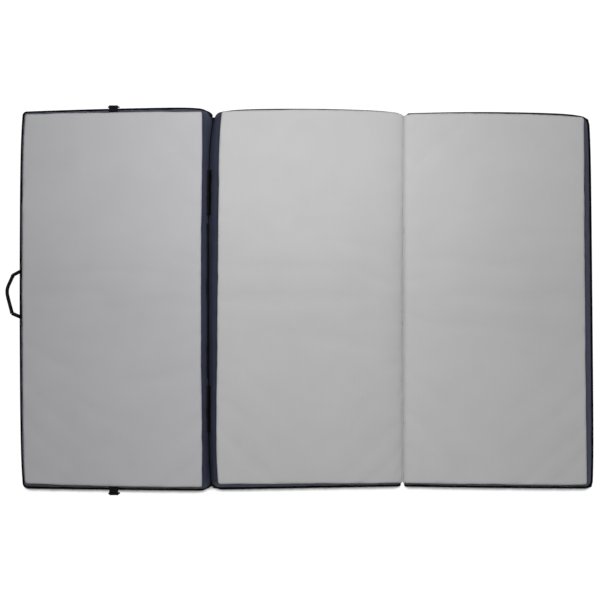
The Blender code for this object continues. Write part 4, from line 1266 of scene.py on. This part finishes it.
# The photograph shows the closing tabs a little east of the middle of the panel
TAB_SHIFT = 3.5 * MM
for end in ("north", "south"):
    refined(end + "_receiver", end + "_receiver_plate", blackened_steel, end + "_receiver_frame", "steel",
            1.6 * MM, 0.35 * MM, (0, 1, 0), (TAB_SHIFT, 0, 0))
    refined(end + "_closure_hook", end + "_hook_plate", blackened_steel, end + "_hook", "steel",
            1.6 * MM, 0.35 * MM, (0, 0, 1))
for panel in PANELS:
    refined(panel + "_zip_slider", panel + "_zip_slider_body", zinc_slider, panel + "_slider", "steel",
            0, 0.4 * MM, (0, 1, 0))
for side in ("west", "east"):
    refined(side + "_ladder_lock", side + "_ladder_lock_frame", acetal, "right_panel", "black_plastic",
            1.4 * MM, 0.5 * MM, (0, 0, 1))
for half, body, edge in (("socket", "right_panel", 1.2 * MM), ("plug", "buckle_plug", 1.0 * MM)):
    refined("belt_buckle_" + half, "buckle_" + half, acetal, body, "black_plastic", 0, edge, (0, 0, 1))
print("Refined plates and buckles:", 11)


# %% [markdown]
# ## Webbing
#
# A strap is a section swept along a path: flat, with full edges where the weft turns back. The path bends
# round a bar with a real radius, so the loops that hold the plates can be seen from the side.

# %% Sweeping a strap
def full_section(*quarter):
    """A closed section, in shares of its half width and its thickness, from a quarter of it."""
    half = quarter + tuple((-x, y) for x, y in quarter[-2::-1])
    return half + tuple((x, -y) for x, y in half[-2:0:-1])


STRAP_SECTION = full_section((1, 0), (0.985, 0.36), (0.93, 0.5), (0.5, 0.46), (0, 0.45))
OVAL_SECTION = tuple((math.copysign(abs(math.cos(t)) ** 0.6, math.cos(t)),
                      0.5 * math.copysign(abs(math.sin(t)) ** 0.6, math.sin(t)))
                     for t in np.linspace(0, 2 * math.pi, 20, endpoint=False) + 0.01)


def smooth_path(points, step):
    """A smooth curve through the points, with a point about every step."""
    points = np.array(points, float)
    padded = np.vstack([2 * points[0] - points[1], points, 2 * points[-1] - points[-2]])
    path = []
    for a, b, c, d in zip(padded, padded[1:], padded[2:], padded[3:]):
        count = max(1, round(np.linalg.norm(c - b) / step))
        for t in np.arange(count) / count:
            path.append(0.5 * (2 * b + (c - a) * t + (2 * a - 5 * b + 4 * c - d) * t * t
                               + (3 * b - a - 3 * c + d) * t ** 3))
    path.append(points[-1])
    return np.array(path)


def unit(vectors):
    """The same directions, each one long."""
    return vectors / np.linalg.norm(vectors, axis=-1, keepdims=True)


def section_rings(path, section, width, thickness, across, normal):
    """The section's points at each point of a path, which can have its own width and thickness."""
    p, q = [share[None, :, None] * np.broadcast_to(size, len(path))[:, None, None]
            for share, size in zip(np.array(section).T, (width, thickness))]
    return path[:, None, :] + p / 2 * across + q * normal


def tube(name, rings, uv, material):
    """A closed piece from rings of points, with a flat cap at each end."""
    return face_outwards(make_piece(name, [as_grid(rings, uv, True)], material,
                                    caps=(rings[0][::-1], rings[-1])))


def sweep(name, path, across, width, thickness, material, section=STRAP_SECTION):
    """Runs a section along a path; across is the direction of its width."""
    across = unit(np.array(across, float))
    normals = unit(np.cross(across, np.gradient(path, axis=0)))
    rings = section_rings(path, section, width, thickness, across, normals[:, None, :])
    around = distances(np.vstack([rings[0], rings[0][:1]]))
    uv = np.stack(np.meshgrid(distances(path), around, indexing="ij"), axis=-1)
    return tube(name, rings, uv, material)


# %% The closing tabs
WEBBING_WIDTH = 24.5 * MM
WEBBING_THICKNESS = 1.4 * MM
LAYER_HALF = 0.85 * MM
LOOP_RADIUS = 3.8 * MM
LOOP_NECK = 6.1 * MM
ARC_OPEN = math.radians(125)
ARC_POINTS = 17


def looped(lead, eye, way, lift, tail):
    """Webbing that runs along way, round a bar at eye and back under itself."""
    eye, way, lift = [np.array(v, float) for v in (eye, way, lift)]
    path = [np.array(p, float) for p in lead] + [eye - way * LOOP_NECK + lift * LAYER_HALF]
    for angle in np.linspace(ARC_OPEN, -ARC_OPEN, ARC_POINTS):
        path.append(eye + LOOP_RADIUS * (math.cos(angle) * way + math.sin(angle) * lift))
    path.append(eye - way * LOOP_NECK - lift * LAYER_HALF)
    path.append(eye - way * (LOOP_NECK + tail) - lift * LAYER_HALF)
    return np.array(path)


BAR_HALF = 2 * MM
TAB_DROOP = math.radians(35)
TAB_ROOT = 1.5 * MM
BARTACK_BEHIND = 2.5 * MM
BARTACK_SPACING = 2.2 * MM
BARTACK_SHARE = 0.4
for end, sign in (("north", 1), ("south", -1)):
    low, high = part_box(end + "_receiver")
    eye = np.array([(low.x + high.x) / 2 + TAB_SHIFT, (low.y + high.y) / 2, high.z - BAR_HALF])
    way = np.array([0, sign * math.cos(TAB_DROOP), -math.sin(TAB_DROOP)])
    lift = np.array([0, sign * math.sin(TAB_DROOP), math.cos(TAB_DROOP)])
    tab_low, tab_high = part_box(end + "_closure_tab")
    length = (eye[1] - (tab_low.y if sign > 0 else tab_high.y)) * sign / math.cos(TAB_DROOP)
    root = eye - way * (length + TAB_ROOT) + lift * LAYER_HALF
    path = looped([root], eye, way, lift, length - LOOP_NECK)
    tab = sweep(end + "_tab_webbing", path, (1, 0, 0), WEBBING_WIDTH, WEBBING_THICKNESS, polyester_webbing)
    dress(tab, "left_panel", "black_webbing", end + "_closure_tab")
    cross = eye - way * (LOOP_NECK + BARTACK_BEHIND) + lift * (LAYER_HALF + WEBBING_THICKNESS / 2)
    half = np.array([BARTACK_SHARE * WEBBING_WIDTH, 0, 0])
    rows = [[cross - half - step * way, cross + half - step * way] for step in (0, BARTACK_SPACING)]
    stitched(end + "_tab_bartack", rows, "left_panel")
print("Closing tabs: 2")

# %% [markdown]
# ## The carry handle
#
# The handle is webbing inside a padded sleeve. It leaves its patches at an angle, turns sharply where the
# sleeve begins, and bows out. The two short legs bend when the handle swings; here they are plain meshes
# that ride on no body.

# %% Handle
HANDLE_LEVEL = centre_of("side_handle_grip").z
HANDLE_WIDTH = 34 * MM
LEG_THICKNESS = 8.4 * MM
GRIP_THICKNESS = 8.8 * MM
CORE_WIDTH = HANDLE_WIDTH - 6 * MM
CORE_THICKNESS = 4 * MM
SLEEVE_FLARE = 1.6 * MM
SLEEVE_FLARE_SHARE = 0.03
PATCH_THICKNESS = 1.5 * MM
PATCH_SEAM_INSET = 3 * MM
PATCH_SEAM_OUT = 1.9 * MM
LEG_ROOT_OUT = 2.0 * MM
NORTH_KINK = (-799.6, 69.0)
SOUTH_KINK = (-802.6, -35.6)
GRIP_BOW = ((-807.3, 52.2), (-813.2, 39.2), (-815.7, 30.0), (-816.2, 22.5), (-815.6, 15.0), (-812.3, 1.0),
            (-807.9, -16.0))
NORTH_ANCHOR_Y = 79.6 * MM
SOUTH_ANCHOR_Y = -45.8 * MM


def handle_point(x, y):
    """A point of the handle's middle line, at its level."""
    return np.array([x * MM, y * MM, HANDLE_LEVEL])


def handle_end(end, kink, anchor_y):
    """A sewn patch with its stitches, and the short leg from it to the sleeve."""
    low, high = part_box(end + "_handle_patch")
    patch = wall_pad(end + "_handle_patch_cloth", "left", "west", (low.y + high.y) / 2, high.y - low.y,
                     low.z, high.z, PATCH_THICKNESS, ballistic_nylon, (16, 14))
    dress(patch, "left_panel", "black_cloth", end + "_handle_patch")
    y = [low.y + PATCH_SEAM_INSET, high.y - PATCH_SEAM_INSET]
    z = [low.z + PATCH_SEAM_INSET, high.z - PATCH_SEAM_INSET]
    box = [(y[0], z[0]), (y[1], z[0]), (y[1], z[1]), (y[0], z[1]), (y[0], z[0]), (y[1], z[1])]
    seams = [[on_wall("left", "west", a, b, PATCH_SEAM_OUT) for a, b in seam]
             for seam in (box, (box[1], box[3]))]
    stitched(end + "_patch_stitches", seams, "left_panel")
    foot = on_wall("left", "west", anchor_y, HANDLE_LEVEL, LEG_ROOT_OUT)
    leg = sweep(end + "_leg_webbing", np.linspace(foot, kink, 7), (0, 0, 1), HANDLE_WIDTH, LEG_THICKNESS,
                polyester_webbing)
    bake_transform(leg)
    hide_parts(end + "_handle_leg")


def make_handle():
    """Both ends, then the sleeve and the webbing core inside it."""
    north, south = handle_point(*NORTH_KINK), handle_point(*SOUTH_KINK)
    handle_end("north", north, NORTH_ANCHOR_Y)
    handle_end("south", south, SOUTH_ANCHOR_Y)
    path = smooth_path([north, *[handle_point(*p) for p in GRIP_BOW], south], 3 * MM)
    share = np.linspace(0, 1, len(path))
    near_ends = np.exp(-share / SLEEVE_FLARE_SHARE) + np.exp(-(1 - share) / SLEEVE_FLARE_SHARE)
    grip = sweep("handle_sleeve", path, (0, 0, 1), HANDLE_WIDTH, GRIP_THICKNESS + SLEEVE_FLARE * near_ends,
                 polyester_webbing, OVAL_SECTION)
    dress(grip, "side_handle", "black_webbing", "side_handle_grip")
    core = sweep("handle_core_webbing", path[2:-2], (0, 0, 1), CORE_WIDTH, CORE_THICKNESS, polyester_webbing)
    dress(core, "side_handle", "black_webbing", "side_handle_core")
    seam = path + np.array([0, 0, HANDLE_WIDTH / 2])
    stitched("handle_sleeve_seam", [seam[2:-2]], "side_handle")
    return grip


print("Handle sleeve points:", len(make_handle().data.vertices))

# %% [markdown]
# ## Under the right panel
#
# The carrying harness lies folded in the hollow of the underside: a yoke, two padded shoulder straps, the
# ladder locks and webbing that adjust them, a waist belt with its buckle, and the two closing straps with
# their hooks. It can't be seen while the pad lies open, but it faces up when the pad is folded.

# %% Closing straps
SOFT_STEP = 4 * MM
HARNESS_X = centre_of("harness_yoke").x
SEWN_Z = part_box("west_belt_webbing")[1].z - WEBBING_THICKNESS / 2
STRAP_FLAT = 28 * MM
STRAP_RAMP_Y = 350 * MM
STRAP_TAIL = 120 * MM


def box_stitch(name, middle, along, across, half_along, half_across, body):
    """A square of stitches with a cross in it, as straps are sewn down."""
    middle, a, b = np.array(middle), np.array(along) * half_along, np.array(across) * half_across
    corners = [middle - a - b, middle + a - b, middle + a + b, middle - a + b]
    return stitched(name, [corners + corners[:1] + [corners[2]], [corners[1], corners[3]]], body)


for end, sign in (("north", 1), ("south", -1)):
    low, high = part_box(end + "_closure_hook")
    eye_y = high.y - BAR_HALF if sign > 0 else low.y + BAR_HALF
    eye = np.array([HARNESS_X, eye_y, (low.z + high.z) / 2])
    strap_low, strap_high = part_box(end + "_closure_strap")
    root_y = strap_high.y if sign > 0 else strap_low.y
    lead = [(HARNESS_X, root_y, SEWN_Z), (HARNESS_X, root_y - sign * STRAP_FLAT, SEWN_Z)]
    ramp = (HARNESS_X, sign * STRAP_RAMP_Y, eye[2] + LAYER_HALF)
    rest = looped([ramp], eye, (0, -sign, 0), (0, 0, 1), STRAP_TAIL)
    path = np.vstack([smooth_path([*lead, ramp], SOFT_STEP)[:-1], rest])
    strap = sweep(end + "_strap_webbing", path, (1, 0, 0), WEBBING_WIDTH, WEBBING_THICKNESS,
                  polyester_webbing)
    dress(strap, "right_panel", "black_webbing", end + "_closure_strap")
    middle = (HARNESS_X, root_y - sign * 0.4 * STRAP_FLAT, SEWN_Z - WEBBING_THICKNESS / 2)
    box_stitch(end + "_strap_stitches", middle, (0, 1, 0), (1, 0, 0), 0.3 * STRAP_FLAT,
               0.36 * WEBBING_WIDTH, "right_panel")
print("Closing straps: 2, with their loops round the hooks")


# %% Yoke and shoulder pads
YOKE_TAPER_SHARE = 0.6
YOKE_GAP = 0.2 * MM
YOKE_SEAM_SHARES = (0.95, 0.86, 1)
YOKE_SEAM_GAP = 0.1 * MM


def yoke():
    """The patch that the shoulder straps are sewn to, with its edge stitched."""
    low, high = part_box("harness_yoke")
    south_half = (high.x - low.x) / 2
    north_half = YOKE_TAPER_SHARE * south_half
    rows = []
    for share in np.linspace(0, 1, 9):
        half = south_half + (north_half - south_half) * share
        y = low.y + (high.y - low.y) * share
        rows.append([(HARNESS_X + half * s, y, low.z + YOKE_GAP) for s in np.linspace(-1, 1, 15)])
    points = np.array(rows)
    patch = make_piece("yoke_cloth", [as_grid(points, points[..., :2], flip=True)], ballistic_nylon)
    finish_cloth(patch, CLOTH_THICKNESS)
    dress(patch, "right_panel", "black_cloth", "harness_yoke")
    border = rim_walk(points)
    centre = border.mean(axis=0)
    line = centre + (border - centre) * np.array(YOKE_SEAM_SHARES)
    line[:, 2] = low.z + YOKE_SEAM_GAP
    stitched("yoke_stitches", [np.vstack([line, line[:1]])], "right_panel")


PAD_WIDTH = 62 * MM
PAD_THICKNESS = 8.0 * MM
PAD_TOP_SPREAD = 60 * MM
PAD_MID = (85 * MM, 110 * MM)
PAD_END = (100 * MM, -60 * MM)
PAD_TOP_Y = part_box("harness_yoke")[0].y - 0.5 * MM
# The pad's section has a flat bound edge beside its filling
PAD_SECTION = full_section((1, 0), (0.99, 0.18), (0.94, 0.27), (0.86, 0.3), (0.78, 0.42), (0.5, 0.49),
                           (0, 0.5))
PAD_END_SHARE = 0.35
PAD_END_REACH_SHARE = 0.03
PAD_SEAM_DEPTH_SHARE = 0.33
PAD_SEAM_SHARE = 0.86
# How far the ladder lock's bar lies past the pad, and from that bar where the lower strap is sewn and bent
BAR_FROM_PAD = (0.3 + 6 + 8.5 + 2) * MM
LOWER_PLACES = (225 * MM, 60 * MM)
LOWER_LEAD = 12 * MM
LOWER_TAIL = 40 * MM
LOWER_SEWN_HALF = (8 * MM, 9 * MM)


def shoulder_line(sign):
    """A shoulder pad's middle line: a curve from the yoke, outwards and down."""
    z = (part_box("west_shoulder_pad")[0].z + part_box("west_shoulder_pad")[1].z) / 2
    top = np.array([HARNESS_X + sign * PAD_TOP_SPREAD, PAD_TOP_Y, z])
    bend = np.array([HARNESS_X + sign * PAD_MID[0], PAD_MID[1], z])
    end = np.array([HARNESS_X + sign * PAD_END[0], PAD_END[1], z])
    t = np.linspace(0, 1, 50)[:, None]
    return (1 - t) ** 2 * top + 2 * t * (1 - t) * bend + t * t * end, unit(end - bend)


def level_sweep(name, path, width, thickness, material, section):
    """Runs a section along a level path that turns in plan; gives the piece and its sideways directions."""
    across = unit(np.cross(np.gradient(path, axis=0), (0, 0, 1)))
    rings = section_rings(path, section, width, thickness, across[:, None, :], np.array([0, 0, 1.0]))
    uv = np.concatenate([rings, rings[:, :1]], axis=1)[..., :2]
    return tube(name, rings, uv, material), across


def shoulder(side, sign):
    """One padded strap with its binding stitches, and the webbing that hangs it."""
    path, way = shoulder_line(sign)
    share = np.linspace(0, 1, len(path))
    ends = 1 - PAD_END_SHARE * np.exp(-(1 - share) / PAD_END_REACH_SHARE)
    pad, across = level_sweep(side + "_shoulder_cushion", path, PAD_WIDTH * ends, PAD_THICKNESS * ends,
                              ballistic_nylon, PAD_SECTION)
    dress(pad, "right_panel", "black_cloth", side + "_shoulder_pad")
    low_face = path - np.array([0, 0, PAD_SEAM_DEPTH_SHARE * PAD_THICKNESS])
    reach = PAD_SEAM_SHARE * PAD_WIDTH / 2 * across
    seams = [(low_face + reach)[1:-3], (low_face - reach)[1:-3]]
    stitched(side + "_shoulder_stitches", seams, "right_panel")
    lower_strap(side, path[-1], way)


def lower_strap(side, pad_end, way):
    """Webbing that is sewn to the underside, runs round the ladder lock's bar and comes back."""
    lock_low, lock_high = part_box(side + "_ladder_lock")
    eye = pad_end + way * BAR_FROM_PAD
    eye[2] = (lock_low.z + lock_high.z) / 2
    lead = [eye + way * distance for distance in LOWER_PLACES]
    for point in lead:
        point[2] = SEWN_Z
    first = eye + way * LOWER_LEAD + np.array([0, 0, LAYER_HALF])
    rest = looped([first], eye, -way, (0, 0, 1), LOWER_TAIL)
    path = np.vstack([smooth_path([*lead, rest[0]], SOFT_STEP)[:-1], rest])
    across = np.cross(way, (0, 0, 1))
    lower = sweep(side + "_lower_strap", path, across, WEBBING_WIDTH, WEBBING_THICKNESS, polyester_webbing)
    dress(lower, "right_panel", "black_webbing", side + "_lower_webbing")
    middle = lead[0] - way * LOWER_LEAD
    middle[2] = SEWN_Z - WEBBING_THICKNESS / 2
    box_stitch(side + "_lower_stitches", middle, way, across, *LOWER_SEWN_HALF, "right_panel")


yoke()
for side, sign in (("west", -1), ("east", 1)):
    shoulder(side, sign)
print("Shoulder pads: 2")

# %% Waist belt
BELT_WIDTH = 38 * MM
BELT_Y = centre_of("west_belt_webbing").y
BELT_SEWN = 20 * MM
BELT_RAMP = 15 * MM
BELT_DROP = 1.8 * MM


def belt(side, sign, buckle_node, body):
    """Half of the belt: sewn flat at its outer end, then along the hollow to the buckle."""
    low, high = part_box(side + "_belt_webbing")
    outer, inner = (low.x, high.x) if sign < 0 else (high.x, low.x)
    level = centre_of(buckle_node).z
    points = [(outer, SEWN_Z), (outer - sign * BELT_SEWN, SEWN_Z),
              (outer - sign * (BELT_SEWN + BELT_RAMP), SEWN_Z - BELT_DROP),
              (inner + sign * 2 * BELT_RAMP, SEWN_Z - BELT_DROP), (inner + sign * BELT_RAMP, level),
              (inner, level)]
    path = smooth_path([(x, BELT_Y, z) for x, z in points], SOFT_STEP)
    half = sweep(side + "_belt_strap", path, (0, 1, 0), BELT_WIDTH, WEBBING_THICKNESS, polyester_webbing)
    if body == "right_panel":
        dress(half, body, "black_webbing", side + "_belt_webbing")
    else:
        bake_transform(half)
        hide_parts(side + "_belt_webbing")
    middle = (outer - sign * 0.5 * BELT_SEWN, BELT_Y, SEWN_Z - WEBBING_THICKNESS / 2)
    box_stitch(side + "_belt_stitches", middle, (1, 0, 0), (0, 1, 0), 0.36 * BELT_SEWN, 0.4 * BELT_WIDTH,
               "right_panel")


belt("west", -1, "belt_buckle_socket", "right_panel")
belt("east", 1, "belt_buckle_plug", "buckle_plug")
print("Waist belt: 2 halves")

# %% [markdown]
# ## What each sheet was cut to
#
# A sheet of cloth keeps its area. The width and depth of each underside sheet's outline are worked out here,
# and nothing uses them. A side band is one long strip: its length is the way round the panel, its width the
# slant of the wall.


for panel in PANELS:
    wide, deep = [2 * half * MM for half in half_sizes(moved_in(FOOT[panel], COVER_EDGE_INSET))]

# %% [markdown]
# ## Floor and light
#
# The pad lies on a floor that looks white and shows only a narrow line of shadow along the pad's south
# edge. The floor is matt grey, plus a white glow that only the camera sees, so little light comes up from
# it. Both fade out where something stands close by on the north side: the Ambient Occlusion node measures
# that, once its normal is laid level. A soft lamp hangs over the north end, which makes the covers fade
# gently towards the south and towards both sides. The sky is brightest overhead and towards the north,
# like the roof of a studio tent.

# %% Floor, sky and lamp
FLOOR_GLOW = 1.0
FLOOR_Z = -0.3 * MM
FLOOR_HALF = 12.0
SHADOW_REACH = 20 * MM
# How open the floor is where the shadow is darkest, and where it ends
SHADOW_RANGE = (0.5, 0.75)
FLOOR_TONE = "585858"
SKY_OVERHEAD = 1.4
SKY_NORTH = 0.5
LAMP_WATTS = 5.5
LAMP_PLACE = (-0.08, 0.5, 1.1)
LAMP_SIZE = (0.6, 0.4)


def only_seen(tree):
    """1 for what the camera sees directly, in gloss or through glass, and 0 for light that bounces."""
    path = add_node(tree, "ShaderNodeLightPath").outputs
    seen = calculate(tree, "MAXIMUM", path["Is Camera Ray"], path["Is Glossy Ray"])
    return calculate(tree, "MAXIMUM", seen, path["Is Transmission Ray"])


def make_floor():
    """A large matt floor with a glow for the camera alone."""
    material, tree, shader = new_material("white_studio_floor", FLOOR_TONE, 0.9)
    place = add_node(tree, "ShaderNodeTexCoord").outputs["Object"]
    add_relief(tree, shader, noise(tree, place, 300.0), 0.1, 0.1 * MM)
    shader.inputs["Specular IOR Level"].default_value = 0.0
    shader.inputs["Emission Color"].default_value = rgb("FFFFFF")
    north = add_node(tree, "ShaderNodeCombineXYZ", {"X": 0.0, "Y": 1.0, "Z": 0.0})
    near = add_node(tree, "ShaderNodeAmbientOcclusion",
                    {"Distance": SHADOW_REACH, "Normal": north.outputs["Vector"]}, samples=16)
    clear = add_node(tree, "ShaderNodeMapRange", {"Value": near.outputs["AO"], "From Min": SHADOW_RANGE[0],
                                                  "From Max": SHADOW_RANGE[1]}).outputs["Result"]
    glow = calculate(tree, "MULTIPLY", calculate(tree, "MULTIPLY", only_seen(tree), FLOOR_GLOW), clear)
    tree.links.new(glow, shader.inputs["Emission Strength"])
    tint(tree, shader, FLOOR_TONE, clear)
    mesh = bpy.data.meshes.new("floor")
    corners = [(-1, -1), (1, -1), (1, 1), (-1, 1)]
    mesh.from_pydata([(x * FLOOR_HALF, y * FLOOR_HALF, FLOOR_Z) for x, y in corners], [], [(0, 1, 2, 3)])
    mesh.materials.append(material)
    floor = bpy.data.objects.new("floor", mesh)
    bpy.context.scene.collection.objects.link(floor)


def make_sky():
    """A white surround to the eye; as light it is brightest overhead and fades down to the horizon."""
    world = bpy.data.worlds.new("studio_surround")
    world.use_nodes = True
    tree = world.node_tree
    background = tree.nodes["Background"]
    background.inputs["Color"].default_value = (1, 1, 1, 1)
    seen = add_node(tree, "ShaderNodeLightPath").outputs["Is Camera Ray"]
    way = add_node(tree, "ShaderNodeTexCoord").outputs["Generated"]
    way = add_node(tree, "ShaderNodeSeparateXYZ", {"Vector": way})
    north = calculate(tree, "MULTIPLY_ADD", way.outputs["Y"], SKY_NORTH, 1.0)
    above = calculate(tree, "MAXIMUM", way.outputs["Z"], 0.0)
    high = calculate(tree, "MULTIPLY", calculate(tree, "MULTIPLY", above, above), SKY_OVERHEAD)
    light = calculate(tree, "MULTIPLY", north, high)
    level = add_node(tree, "ShaderNodeMapRange", {"Value": seen, "To Min": light, "To Max": 1.0})
    tree.links.new(level.outputs["Result"], background.inputs["Strength"])
    bpy.context.scene.world = world


def make_lamp():
    """The soft lamp over the north end."""
    data = bpy.data.lights.new("softbox", "AREA")
    data.shape = "RECTANGLE"
    data.size, data.size_y = LAMP_SIZE
    data.energy = LAMP_WATTS
    lamp = bpy.data.objects.new("softbox", data)
    bpy.context.scene.collection.objects.link(lamp)
    lamp.location = LAMP_PLACE
    lamp.visible_camera = False


make_floor()
make_sky()
make_lamp()
bpy.context.scene.view_settings.view_transform = "Standard"
